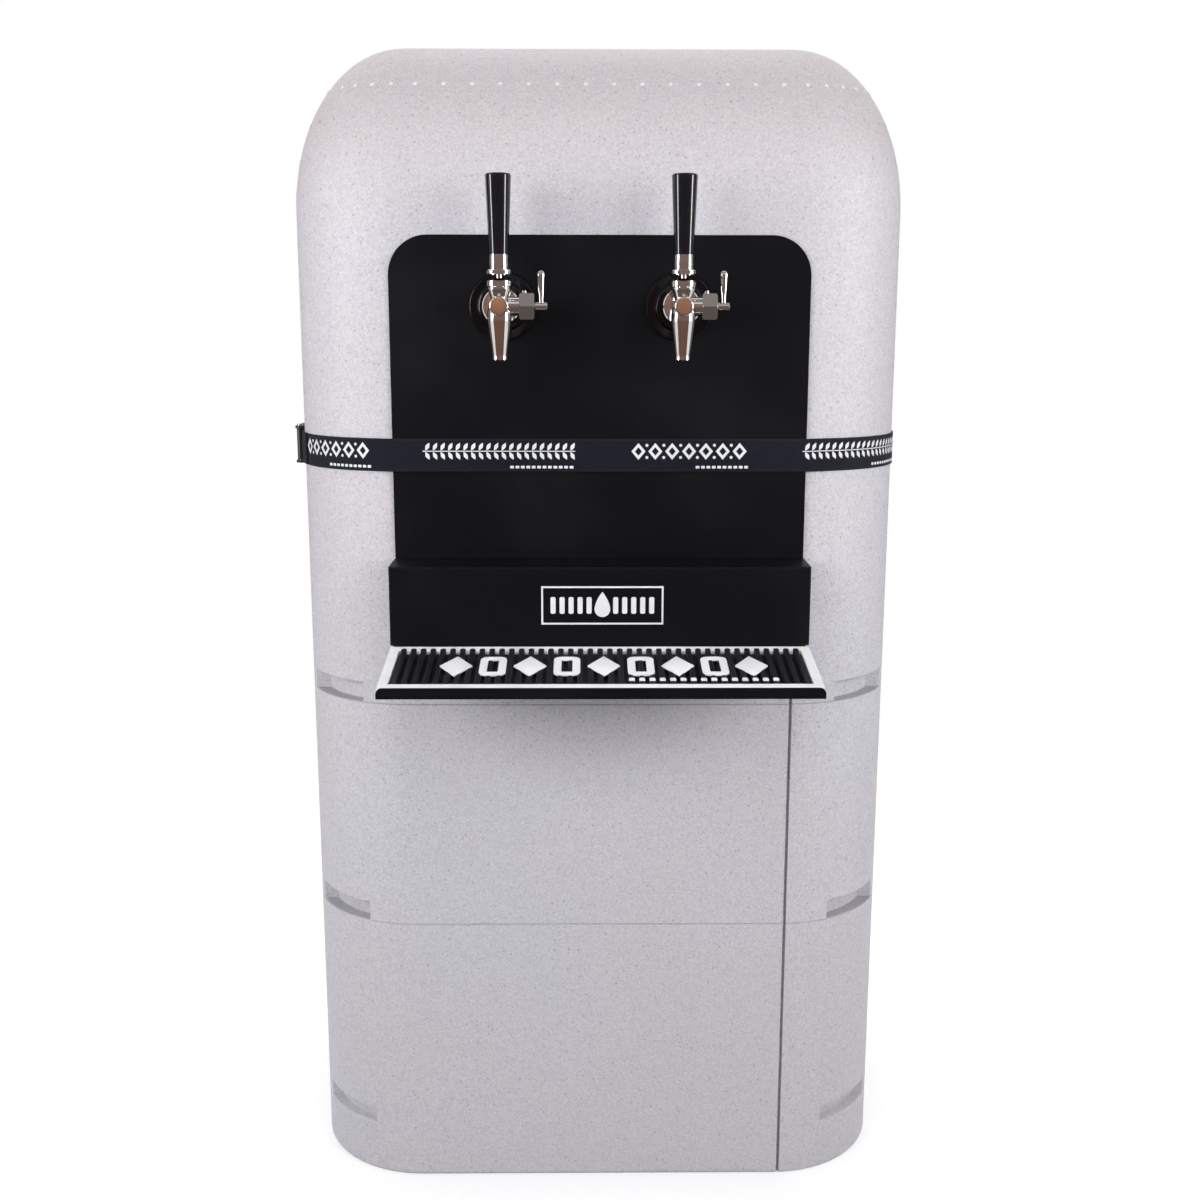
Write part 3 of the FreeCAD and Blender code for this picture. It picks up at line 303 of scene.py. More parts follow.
    def bump(self, height: object, depth: float, strength: float) -> None:
        """Put a height pattern on the shader's normal, over any that is there.

        Args:
            height: Pattern, 0 to 1.
            depth: Metres from its lowest to its highest.
            strength: Share of that depth.
        """
        node = self.add("ShaderNodeBump")
        for socket, value in (("Strength", strength), ("Distance", depth), ("Height", height)):
            self.feed(node, socket, value)
        normal = self.shader.inputs["Normal"]
        if normal.is_linked:
            self.feed(node, "Normal", normal.links[0].from_socket)
        self.shade("Normal", node.outputs["Normal"])


# ------------------------------------------------------------------ finishes
@dataclass(frozen=True)
class Finish:
    """A finish with one base colour and one roughness that wanders a little."""

    name: str
    colour: Colour
    roughness: float

    def material(self) -> bpy.types.Material:
        """The finish as a material, made at its first use.

        Returns:
            The material.
        """
        found = bpy.data.materials.get("finish_" + self.name)
        if found:
            return found
        bench = NodeBench("finish_" + self.name)
        bench.material.diffuse_color = (*self.colour, 1.0)
        self.paint(bench)
        return bench.material

    def paint(self, bench: NodeBench) -> None:
        """Lay the finish on the shader.

        Args:
            bench: The material's nodes.
        """
        raise NotImplementedError

    def tinted(self, factor: float) -> Colour:
        """The base colour, lighter or darker by a factor."""
        return tuple(min(1.0, factor * part) for part in self.colour)

    def wander(self, bench: NodeBench, wave: float, change: float) -> bpy.types.NodeSocket:
        """Let the roughness wander, as handling leaves it.

        Args:
            bench: The material's nodes.
            wave: Waves per metre.
            change: Largest change either way.

        Returns:
            The noise that it follows.
        """
        octaves, low, high = 4.0, 0.3, 0.7
        noise = bench.noise(bench.place(), wave, octaves)
        bench.shade("Roughness", bench.span(noise, low, high, self.roughness - change,
                                            self.roughness + change))
        return noise


@dataclass(frozen=True)
class Fleck:
    """One size of dark fleck: its cell, the share of cells that hold one and its darkness."""

    cell: float
    share: float
    strength: float


@dataclass(frozen=True)
class BeadFoam(Finish):
    """Expanded bead foam: fused beads, pitted dark flecks of two sizes and faint mottling.

    Painted: a warm reflection towards the hood's top and a thin line of shade at each seam.
    """

    bead: float = 3.6 * MM
    bead_shade: float = 0.9
    bead_veil: Span = (0.3, 1.0, 0.0, 0.7)
    bead_dulling: float = 0.12
    groove_veil: Span = (0.0, 0.10, 0.20, 0.0)
    groove: Span = (0.0, 0.22, 0.0, 1.0)
    groove_relief: Relief = (0.14 * MM, 0.6)
    cloud: Waves = (2.4, 2.0)
    cloud_veil: Span = (0.38, 0.62, 0.0, 0.3)
    # Painted reflection: a warm tint mixed in towards the hood's top; the warm colour also serves
    # the random mottling.
    top_reflection_veil: Span = (1.12, 1.26, 0.0, 0.7)
    warm: Colour = (0.652, 0.578, 0.584)
    # Dark of the flecks, grain and bead joints, and also of the painted shade at the seams.
    dark: Colour = (0.20, 0.195, 0.22)
    fleck_sizes: tuple[Fleck, ...] = (Fleck(6.4 * MM, 0.42, 0.48), Fleck(2.6 * MM, 0.22, 0.36))
    fleck_core: Pair = (0.10, 0.24)
    fleck_edge: float = 0.02
    fleck_shift: Triple = (3.1, 1.7, 0.4)
    pit_relief: Relief = (0.3 * MM, 0.7)
    bend: float = 3.0 * MM
    bend_waves: Waves = (520.0, 2.0)
    grain: Waves = (400.0, 2.0)
    grain_veil: Span = (0.33, 0.60, 0.18, 0.0)
    grain_relief: Relief = (0.10 * MM, 0.5)
    # Painted shade: a thin dark line along each seam between the foam sections.
    seams: tuple[float, ...] = (0.330, 0.600)
    seam_shade_veil: Span = (0.33 * MM, 1.1 * MM, 0.45, 0.0)
    shine: float = 0.5

    def paint(self, bench: NodeBench) -> None:
        """Lay beads, flecks and mottling on the shader.

        Args:
            bench: The material's nodes.
        """
        place = bench.place()
        height = bench.axes(place)[2]
        tone = bench.axes(bench.cells(place, self.bead).outputs["Color"])[0]
        groove = bench.cells(place, self.bead, "DISTANCE_TO_EDGE").outputs["Distance"]
        cloud = bench.noise(place, *self.cloud)
        colour = bench.blend(bench.span(cloud, *self.cloud_veil), self.colour, self.warm)
        # Painted reflection: the foam turns warm towards the hood's top.
        colour = bench.blend(bench.span(height, *self.top_reflection_veil), colour, self.warm)
        colour = bench.blend(bench.span(tone, *self.bead_veil), colour,
                             self.tinted(self.bead_shade))
        colour = bench.blend(bench.span(groove, *self.groove_veil), colour, self.dark)
        for fleck in self.fleck_sizes:
            mask = self.flecks(bench, place, fleck)
            colour = bench.blend(mask, colour, self.dark)
            bench.bump(bench.span(mask, 0.0, fleck.strength, 1.0, 0.0), *self.pit_relief)
        grain = bench.noise(place, *self.grain)
        colour = bench.blend(bench.span(grain, *self.grain_veil), colour, self.dark)
        # Painted shade along each seam.
        for seam in self.seams:
            away = bench.reckon("ABSOLUTE", bench.reckon("SUBTRACT", height, seam))
            colour = bench.blend(bench.span(away, *self.seam_shade_veil), colour, self.dark)
        bench.shade("Base Color", colour)
        bench.shade("Specular IOR Level", self.shine)
        bench.shade("Roughness", bench.span(tone, 0.0, 1.0, self.roughness,
                                            self.roughness + self.bead_dulling))
        bench.bump(bench.span(groove, *self.groove), *self.groove_relief)
        bench.bump(grain, *self.grain_relief)

    def flecks(self, bench: NodeBench, place: bpy.types.NodeSocket,
               fleck: Fleck) -> bpy.types.NodeSocket:
        """Mask of small uneven flecks in some of the cells.

        Args:
            bench: The material's nodes.
            place: Coordinates.
            fleck: Their size, share and strength.

        Returns:
            The mask.
        """
        drift = bench.noise(place, *self.bend_waves, output=1)
        bent = bench.add("ShaderNodeVectorMath", operation="MULTIPLY_ADD")
        for number, value in enumerate((drift, (self.bend,) * 3, place)):
            bench.feed(bent, number, value)
        cells = bench.cells(bench.mapped(bent.outputs[0], self.fleck_shift), fleck.cell)
        lot = bench.add("ShaderNodeTexWhiteNoise")
        bench.feed(lot, "Vector", cells.outputs["Color"])
        chosen = bench.span(lot.outputs["Value"], 1 - fleck.share,
                            1 - fleck.share + self.fleck_edge, 0.0, 1.0)
        core = bench.span(cells.outputs["Distance"], *self.fleck_core, fleck.strength, 0.0)
        return bench.reckon("MULTIPLY", chosen, core)


@dataclass(frozen=True)
class PowderCoat(Finish):
    """Fine black powder coat on folded sheet, with the dull patches that wiping leaves."""

    dust: Colour = (0.030, 0.030, 0.036)
    wear: Wear = (7.0, 0.07)
    veil: Span = (0.45, 0.75, 0.0, 0.10)
    speck_cell: float = 6.0 * MM
    speck_lot: Span = (0.86, 0.9, 0.0, 1.0)
    speck_core: Span = (0.03, 0.07, 0.7, 0.0)
    shine: float = 0.14
    peel: Waves = (1400.0, 2.0)
    peel_relief: Relief = (0.05 * MM, 0.45)

    def paint(self, bench: NodeBench) -> None:
        """Lay the coat's orange peel, wiped patches and dust on the shader.

        Args:
            bench: The material's nodes.
        """
        place = bench.place()
        wiped = self.wander(bench, *self.wear)
        specks = bench.cells(place, self.speck_cell)
        chosen = bench.span(bench.axes(specks.outputs["Color"])[0], *self.speck_lot)
        core = bench.span(specks.outputs["Distance"], *self.speck_core)
        colour = bench.blend(bench.span(wiped, *self.veil), self.colour, self.dust)
        colour = bench.blend(bench.reckon("MULTIPLY", chosen, core), colour, self.dust)
        bench.shade("Base Color", colour)
        bench.shade("Specular IOR Level", self.shine)
        bench.bump(bench.noise(place, *self.peel), *self.peel_relief)


@dataclass(frozen=True)
class Rubber(Finish):
    """Moulded rubber or ink with a fine pore and a little dirt in it."""

    dirt: Colour = (0.03, 0.03, 0.03)
    dirt_share: float = 0.25
    dirt_patch: Pair = (0.42, 0.75)
    wear: Wear = (18.0, 0.06)
    pores: Waves = (1700.0, 3.0)
    pore_veil: Span = (0.56, 0.75, 0.0, 0.35)
    pore_relief: Relief = (0.08 * MM, 0.6)
    shine: float = 0.22

    def paint(self, bench: NodeBench) -> None:
        """Lay pores and dirt on the shader.

        Args:
            bench: The material's nodes.
        """
        place = bench.place()
        patch = bench.span(self.wander(bench, *self.wear), *self.dirt_patch, 0.0, self.dirt_share)
        pores = bench.noise(place, *self.pores)
        colour = bench.blend(patch, self.colour, self.dirt)
        colour = bench.blend(bench.span(pores, *self.pore_veil), colour, self.dirt)
        bench.shade("Base Color", colour)
        bench.shade("Specular IOR Level", self.shine)
        bench.bump(pores, *self.pore_relief)


@dataclass(frozen=True)
class Plated(Finish):
    """Polished chrome with faint wipe marks and dried drops."""

    wear: Wear = (60.0, 0.025)
    drop_cell: float = 7.0 * MM
    drop_radius: float = 0.22
    drop_veil: Span = (0.0, 0.03, 0.12, 0.0)
    smear_veil: Span = (0.4, 0.8, 0.0, 0.15)
    dulling: float = 0.55
    ripple: Waves = (350.0, 2.0)
    ripple_relief: Relief = (0.012 * MM, 0.5)

    def paint(self, bench: NodeBench) -> None:
        """Lay the plating on the shader.

        Args:
            bench: The material's nodes.
        """
        place = bench.place()
        marks = self.wander(bench, *self.wear)
        drops = bench.cells(place, self.drop_cell).outputs["Distance"]
        rim = bench.reckon("ABSOLUTE", bench.reckon("SUBTRACT", drops, self.drop_radius))
        dull = self.tinted(self.dulling)
        colour = bench.blend(bench.span(rim, *self.drop_veil), self.colour, dull)
        colour = bench.blend(bench.span(marks, *self.smear_veil), colour, dull)
        bench.shade("Base Color", colour)
        bench.shade("Metallic", 1.0)
        bench.bump(bench.noise(place, *self.ripple), *self.ripple_relief)


@dataclass(frozen=True)
class Turned(Finish):
    """Dark metal with the fine rings of a lathe round an axis along Y."""

    centre: Pair = (0.0, 0.0)
    ring_pitch: float = 0.45 * MM
    ring_light: float = 1.9
    ring_veil: Span = (-1.0, 1.0, 0.0, 0.35)
    ring_relief: Relief = (0.02 * MM, 0.5)
    wear: Wear = (40.0, 0.06)

    def paint(self, bench: NodeBench) -> None:
        """Lay lathe rings round the centre on the shader.

        Args:
            bench: The material's nodes.
        """
        place = bench.mapped(bench.place(), (-self.centre[0], 0, -self.centre[1]))
        x, _, z = bench.axes(place)
        turns = bench.reckon("MULTIPLY", bench.distance(x, z), math.tau / self.ring_pitch)
        rings = bench.reckon("SINE", turns)
        self.wander(bench, *self.wear)
        bench.shade("Base Color", bench.blend(bench.span(rings, *self.ring_veil), self.colour,
                                              self.tinted(self.ring_light)))
        bench.shade("Metallic", 1.0)
        bench.bump(bench.span(rings, *SWING), *self.ring_relief)


@dataclass(frozen=True)
class WorkedMetal(Finish):
    """Bare metal, drawn or cast, that has dulled unevenly."""

    tarnish: Colour = (0.25, 0.24, 0.23)
    tarnish_share: float = 0.3
    tarnish_patch: Pair = (0.38, 0.75)
    wear: Wear = (25.0, 0.08)
    grain: Waves = (900.0, 3.0)
    grain_stretch: Triple = (1.0, 1.0, 0.06)
    grain_veil: Span = (0.35, 0.7, 0.12, 0.0)
    grain_relief: Relief = (0.03 * MM, 0.8)

    def paint(self, bench: NodeBench) -> None:
        """Lay the drawn or cast grain and the tarnish on the shader.

        Args:
            bench: The material's nodes.
        """
        patch = bench.span(self.wander(bench, *self.wear), *self.tarnish_patch, 0.0,
                           self.tarnish_share)
        grain = bench.noise(bench.mapped(bench.place(), scale=self.grain_stretch), *self.grain)
        colour = bench.blend(patch, self.colour, self.tarnish)
        colour = bench.blend(bench.span(grain, *self.grain_veil), colour, self.tarnish)
        bench.shade("Base Color", colour)
        bench.shade("Metallic", 1.0)
        bench.bump(grain, *self.grain_relief)


@dataclass(frozen=True)
class Moulded(Finish):
    """Moulded plastic with a fine spark grain and light scuffs."""

    scuff: Colour = (0.12, 0.12, 0.13)
    scuff_lines: Waves = (1300.0, 2.0)
    scuff_stretch: Triple = (1.0, 1.0, 0.08)
    scuff_veil: Span = (0.66, 0.82, 0.0, 0.3)
    wear: Wear = (30.0, 0.05)
    coat: float = 0.0
    coat_roughness: float = 0.05
    spark: Waves = (1500.0, 2.0)
    spark_relief: Relief = (0.02 * MM, 0.5)
    shine: float = 0.5

    def paint(self, bench: NodeBench) -> None:
        """Lay grain and scuffs on the shader.

        Args:
            bench: The material's nodes.
        """
        place = bench.place()
        self.wander(bench, *self.wear)
        lines = bench.noise(bench.mapped(place, scale=self.scuff_stretch), *self.scuff_lines)
        colour = bench.blend(bench.span(lines, *self.scuff_veil), self.colour, self.scuff)
        bench.shade("Base Color", colour)
        bench.shade("Specular IOR Level", self.shine)
        bench.shade("Coat Weight", self.coat)
        bench.shade("Coat Roughness", self.coat_roughness)
        bench.bump(bench.noise(place, *self.spark), *self.spark_relief)


@dataclass(frozen=True)
class Webbing(Finish):
    """Woven strap: ribs across its width, ends along it and a firmer edge."""

    width: float = 36.5 * MM
    rib: float = 1.25 * MM
    end: float = 0.95 * MM
    edge: Pair = (2.6 * MM, 2.08 * MM)
    edge_share: float = 0.55
    light: Colour = (0.0135, 0.015, 0.026)
    fuzz: Waves = (500.0, 4.0)
    fuzz_veil: Span = (0.3, 0.7, 0.55, 1.0)
    sheen: float = 0.03
    shine: float = 0.12
    cloth_relief: Relief = (0.22 * MM, 0.8)

    def paint(self, bench: NodeBench) -> None:
        """Weave the shader over the strap's own map, across in U and along in V.

        Args:
            bench: The material's nodes.
        """
        across, along, _ = bench.axes(bench.uv("weave"))
        ribs, ends = (bench.reckon("SINE", bench.reckon("MULTIPLY", run, math.tau / pitch))
                      for run, pitch in ((along, self.rib), (across, self.end)))
        weave = bench.span(bench.reckon("MULTIPLY", ribs, ends), *SWING)
        ladder = bench.span(ribs, *SWING)
        cloth = bench.reckon("ADD", *(bench.reckon("MULTIPLY", part, 0.5)
                                      for part in (weave, ladder)))
        fuzz = bench.noise(bench.place(), *self.fuzz)
        lit = bench.reckon("MULTIPLY", cloth, bench.span(fuzz, *self.fuzz_veil))
        colour = bench.blend(lit, self.colour, self.light)
        outer, inner = (self.width / 2 - reach for reach in self.edge)
        rim = bench.span(bench.reckon("ABSOLUTE", across), outer, inner, 0.0, self.edge_share)
        bench.shade("Base Color", bench.blend(rim, colour, self.light))
        bench.shade("Roughness", self.roughness)
        bench.shade("Sheen Weight", self.sheen)
        bench.shade("Specular IOR Level", self.shine)
        bench.bump(cloth, *self.cloth_relief)


@dataclass(frozen=True)
class MilkyTube(Finish):
    """Clear hose that has gone milky, with the light let through it."""

    wear: Wear = (35.0, 0.06)
    dulling: float = 0.8
    cloud_veil: Span = (0.3, 0.7, 0.0, 0.6)
    clearness: float = 0.45
    index: float = 1.45

    def paint(self, bench: NodeBench) -> None:
        """Lay the milky wall on the shader.

        Args:
            bench: The material's nodes.
        """
        cloud = bench.span(self.wander(bench, *self.wear), *self.cloud_veil)
        bench.shade("Base Color", bench.blend(cloud, self.colour, self.tinted(self.dulling)))
        bench.shade("Transmission Weight", self.clearness)
        bench.shade("IOR", self.index)


FOAM = BeadFoam("bead_foam", (0.652, 0.637, 0.688), 0.52)
COAT = PowderCoat("black_powder_coat", (0.0042, 0.0043, 0.0058), 0.44)
RIBBED = Rubber("black_ribbed_rubber", (0.0085, 0.0085, 0.0105), 0.55)
PALE_RUBBER = Rubber("pale_rubber", (0.80, 0.795, 0.82), 0.5, dirt=(0.50, 0.49, 0.50))
# Painted highlight: a paler finish for the ring of nubs that catches the top light.
VENT_HIGHLIGHT = Rubber("vent_painted_highlight", (0.86, 0.85, 0.88), 0.35, dirt=(0.65, 0.64, 0.66))
SOFT_BLACK = Rubber("soft_black_rubber", (0.016, 0.016, 0.018), 0.62)
STRAP_CLOTH = Webbing("strap_webbing", (0.0036, 0.0041, 0.0080), 0.7)
PRINT_INK = Rubber("print_ink", (0.80, 0.80, 0.815), 0.55, dirt=(0.45, 0.45, 0.47),
                   dirt_share=0.2)
THREAD = Rubber("sewing_thread", (0.030, 0.030, 0.040), 0.7)
BUCKLE_BLACK = Moulded("buckle_black", (0.008, 0.008, 0.010), 0.38)
CHROME = Plated("chrome", (0.69, 0.67, 0.655), 0.07)
STAINLESS = WorkedMetal("drawn_stainless", (0.60, 0.59, 0.58), 0.26)
CAST = WorkedMetal("cast_aluminium", (0.58, 0.59, 0.60), 0.45, tarnish=(0.33, 0.33, 0.34),
                   tarnish_share=0.45, grain=(420.0, 3.0), grain_stretch=(1.0, 1.0, 1.0),
                   grain_relief=(0.16 * MM, 0.8))
BRASS = WorkedMetal("brass", (0.70, 0.49, 0.21), 0.30, tarnish=(0.30, 0.19, 0.09),
                    tarnish_share=0.45)
HANDLE = Moulded("gloss_handle", (0.0052, 0.0056, 0.0090), 0.12, scuff=(0.05, 0.05, 0.055),
                 wear=(30.0, 0.04), coat=0.25, spark_relief=(0.008 * MM, 0.5), shine=0.25)
COUPLER = Moulded("coupler_grey", (0.30, 0.31, 0.32), 0.42, scuff=(0.42, 0.42, 0.43))
HOSE = MilkyTube("milky_hose", (0.74, 0.77, 0.75), 0.2)


# ------------------------------------------------------------------ bench for meshes
def stood(name: str, mesh: bpy.types.Mesh) -> bpy.types.Object:
    """Put a mesh into the scene.

    Args:
        name: The object's name.
        mesh: Its mesh.

    Returns:
        The object.
    """
    obj = bpy.data.objects.new(name, mesh)
    bpy.context.scene.collection.objects.link(obj)
    return obj


class Workpiece:
    """One mesh object that is shaped with hand-tool operators."""

    MERGE = 0.002 * MM
    FLAT_WITHIN = 0.5

    def __init__(self, name: str, obj: bpy.types.Object) -> None:
        """Take an object onto the bench.

        Args:
            name: The piece's name.
            obj: The mesh object.
        """
        self.obj = obj
        obj.name = name
        obj.data.name = name

    @staticmethod
    def clear() -> None:
        """Deselect everything."""
        if bpy.context.mode != "OBJECT":
            bpy.ops.object.mode_set(mode="OBJECT")
        bpy.ops.object.select_all(action="DESELECT")

    @classmethod
    def block(cls, name: str, size: Triple, centre: Triple | Vector = (0, 0, 0)) -> "Workpiece":
        """Start from a box.

        Args:
            name: The piece's name.
            size: Its three sides.
            centre: Its middle.

        Returns:
            The box on the bench.
        """
        cls.clear()
        bpy.ops.mesh.primitive_cube_add(size=1.0, location=centre, scale=size)
        piece = cls(name, bpy.context.object)
        piece.settle()
        return piece

    @classmethod
    def disc(cls, name: str, radius: float, depth: float, sides: int) -> "Workpiece":
        """Start from a round blank that stands on the origin along +Z.

        Args:
            name: The piece's name.
            radius: Its radius.
            depth: Its height.
            sides: Corners of its outline.

        Returns:
            The blank on the bench.
        """
        cls.clear()
        bpy.ops.mesh.primitive_cylinder_add(vertices=sides, radius=radius, depth=depth,
                                            location=(0, 0, depth / 2))
        piece = cls(name, bpy.context.object)
        piece.settle()
        return piece

    @classmethod
    def copy_of(cls, node: str, name: str) -> "Workpiece":
        """Start from a merged copy of a CAD node, which it replaces.

        Args:
            node: The CAD node.
            name: The piece's name.

        Returns:
            The copy on the bench.
        """
        cls.clear()
        piece = cls(name, stood(name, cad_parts[node].data.copy()))
        piece.take()
        bpy.ops.mesh.customdata_custom_splitnormals_clear()
        bpy.ops.object.mode_set(mode="EDIT")
        bpy.ops.mesh.select_all(action="SELECT")
        bpy.ops.mesh.remove_doubles(threshold=cls.MERGE)
        bpy.ops.mesh.tris_convert_to_quads()
        bpy.ops.mesh.dissolve_limited(angle_limit=math.radians(cls.FLAT_WITHIN))
        bpy.ops.object.mode_set(mode="OBJECT")
        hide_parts(node)
        return piece

    def take(self) -> None:
        """Make this the only selected object."""
        self.clear()
        self.obj.select_set(True)
        bpy.context.view_layer.objects.active = self.obj

    def settle(self) -> None:
        """Put the object's place into its mesh."""
        self.take()
        bpy.ops.object.transform_apply(location=True, rotation=True, scale=True)

    def edit(self, kind: str) -> None:
        """Enter edit mode with nothing selected.

        Args:
            kind: What is selected there, EDGE or FACE.
        """
        self.take()
        bpy.ops.object.mode_set(mode="EDIT")
        bpy.ops.mesh.select_mode(type=kind)
        bpy.ops.mesh.select_all(action="DESELECT")

    def pick(self, wanted: FacePicker) -> None:
        """Select faces in edit mode.

        Args:
            wanted: Says of a face's middle and normal whether it is selected.
        """
        self.edit("FACE")
        mesh = bmesh.from_edit_mesh(self.obj.data)
        for face in mesh.faces:
            face.select_set(wanted(face.calc_center_median(), face.normal))
        bmesh.update_edit_mesh(self.obj.data)

    def done(self) -> None:
        """Leave edit mode."""
        bpy.ops.object.mode_set(mode="OBJECT")

    def push(self, move: Vector) -> None:
        """Extrude the selected faces along a vector."""
        bpy.ops.mesh.extrude_region_move(TRANSFORM_OT_translate={"value": move})

    def round_edges(self, width: float, segments: int = 2, angle: float = 35.0) -> None:
        """Round the piece's sharp edges.

        Args:
            width: How far each rounding reaches.
            segments: Steps in it.
            angle: Edges that turn more than this many degrees are rounded.
        """
        self.take()
        bevel = self.obj.modifiers.new("round", "BEVEL")
        bevel.width = width
        bevel.segments = segments
        bevel.limit_method = "ANGLE"
        bevel.angle_limit = math.radians(angle)
        bpy.ops.object.modifier_apply(modifier=bevel.name)

    def smooth(self, angle: float) -> None:
        """Shade smooth up to an angle in degrees."""
        self.take()
        bpy.ops.object.shade_smooth_by_angle(angle=math.radians(angle))

    def level(self) -> None:
        """Let the large faces set the normals, so that flats stay flat beside their roundings."""
        self.take()
        weigh = self.obj.modifiers.new("level", "WEIGHTED_NORMAL")
        weigh.keep_sharp = True
        bpy.ops.object.modifier_apply(modifier=weigh.name)

    def pierce(self, wall: float, way: Triple = (0, 0, 1)) -> None:
        """Open a flat piece right through, with a wall of an even width left.

        Args:
            wall: The wall's width.
            way: Direction of the opening.
        """
        self.pick(lambda _, normal: abs(normal.dot(Vector(way))) > FACING)
        bpy.ops.mesh.inset(thickness=wall, depth=0.0)
        bpy.ops.mesh.bridge_edge_loops()
        self.done()

    def joined(self, *others: "Workpiece") -> "Workpiece":
        """Join other pieces to this one.

        Args:
            others: The pieces that become part of it.

        Returns:
            This piece.
        """
        self.clear()
        for other in others:
            other.obj.select_set(True)
        self.obj.select_set(True)
        bpy.context.view_layer.objects.active = self.obj
        bpy.ops.object.join()
        return self

    def move(self, matrix: Matrix) -> None:
        """Move the mesh itself."""
        self.obj.data.transform(matrix)
        self.obj.data.update()

    def stamped(self, name: str, places: Iterable[Matrix]) -> "Workpiece":
        """Copy the piece to many places and join the copies.

        Args:
            name: The joined piece's name.
            places: One matrix for each copy.

        Returns:
            The joined piece. The pattern itself is removed.
        """
        copies = []
        for matrix in places:
            mesh = self.obj.data.copy()
            mesh.transform(matrix)
            copies.append(stood(name, mesh))
        self.clear()
        for twin in copies:
            twin.select_set(True)
        bpy.context.view_layer.objects.active = copies[0]
        bpy.ops.object.join()
        bpy.data.objects.remove(self.obj)
        return Workpiece(name, copies[0])

    def finish(self, finish: Finish, body: Body, slot: Slot) -> bpy.types.Object:
        """Dress the piece, let it ride and report it.

        Args:
            finish: Its finish.
            body: The body that it moves with.
            slot: The record's material slot; not used.

        Returns:
            The object.
        """
        self.obj.data.materials.clear()
        self.obj.data.materials.append(finish.material())
        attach(self.obj, body.value)
        LOG.info("%s on %s, %d faces", self.obj.name, body.value, len(self.obj.data.polygons))
        return self.obj


def dress(finish: Finish, *nodes: str) -> None:
    """Give CAD nodes a finish.

    Args:
        finish: The finish.
        nodes: Names of the nodes.
    """
    for node in nodes:
        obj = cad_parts[node]
        if not obj.material_slots:
            obj.data.materials.append(None)
        for holder in obj.material_slots:
            holder.material = finish.material()


def soften(node: str, body: Body, finish: Finish, slot: Slot, width: float) -> None:
    """Stand a copy with rounded edges in for a CAD node.

    Args:
        node: The CAD node.
        body: The body that it moves with.
        finish: Its finish.
        slot: The record's material slot.
        width: How far each rounding reaches.
    """
    piece = Workpiece.copy_of(node, node + "_soft_edged")
    piece.round_edges(width)
    piece.smooth(60.0)
    piece.level()
    piece.finish(finish, body, slot)


def tablet(name: str, size: Triple, corner: float, steps: int = 3) -> Workpiece:
    """Flat block with round corners, lying in X and Y with its foot at zero.

    Args:
        name: The piece's name.
        size: Its three sides.
        corner: Radius of its corners.
        steps: Faces in each corner.

    Returns:
        The block on the bench.
    """
    piece = Workpiece.block(name, size, (0, 0, size[2] / 2))
    piece.edit("EDGE")
    mesh = bmesh.from_edit_mesh(piece.obj.data)
    for edge in mesh.edges:
        first, last = (end.co for end in edge.verts)
        edge.select_set(abs(first.z - last.z) > size[2] / 2)
    bmesh.update_edit_mesh(piece.obj.data)
    bpy.ops.mesh.bevel(offset=corner, segments=steps, affect="EDGES")
    piece.done()
    return piece


# ------------------------------------------------------------------ foam body
@dataclass(frozen=True)
class Plan:
    """The body's outline seen from above: a rectangle with round corners."""

    width: float = 0.700
    depth: float = 0.600
    corner: float = 0.135

    @property
    def inner_x(self) -> float:
        """Half the straight part of the front."""
        return self.width / 2 - self.corner

    @property
    def inner_y(self) -> float:
        """Half the straight part of a side."""
        return self.depth / 2 - self.corner

    @property
    def length(self) -> float:
        """Length of the whole outline."""
        return 4 * (self.inner_x + self.inner_y) + math.tau * self.corner


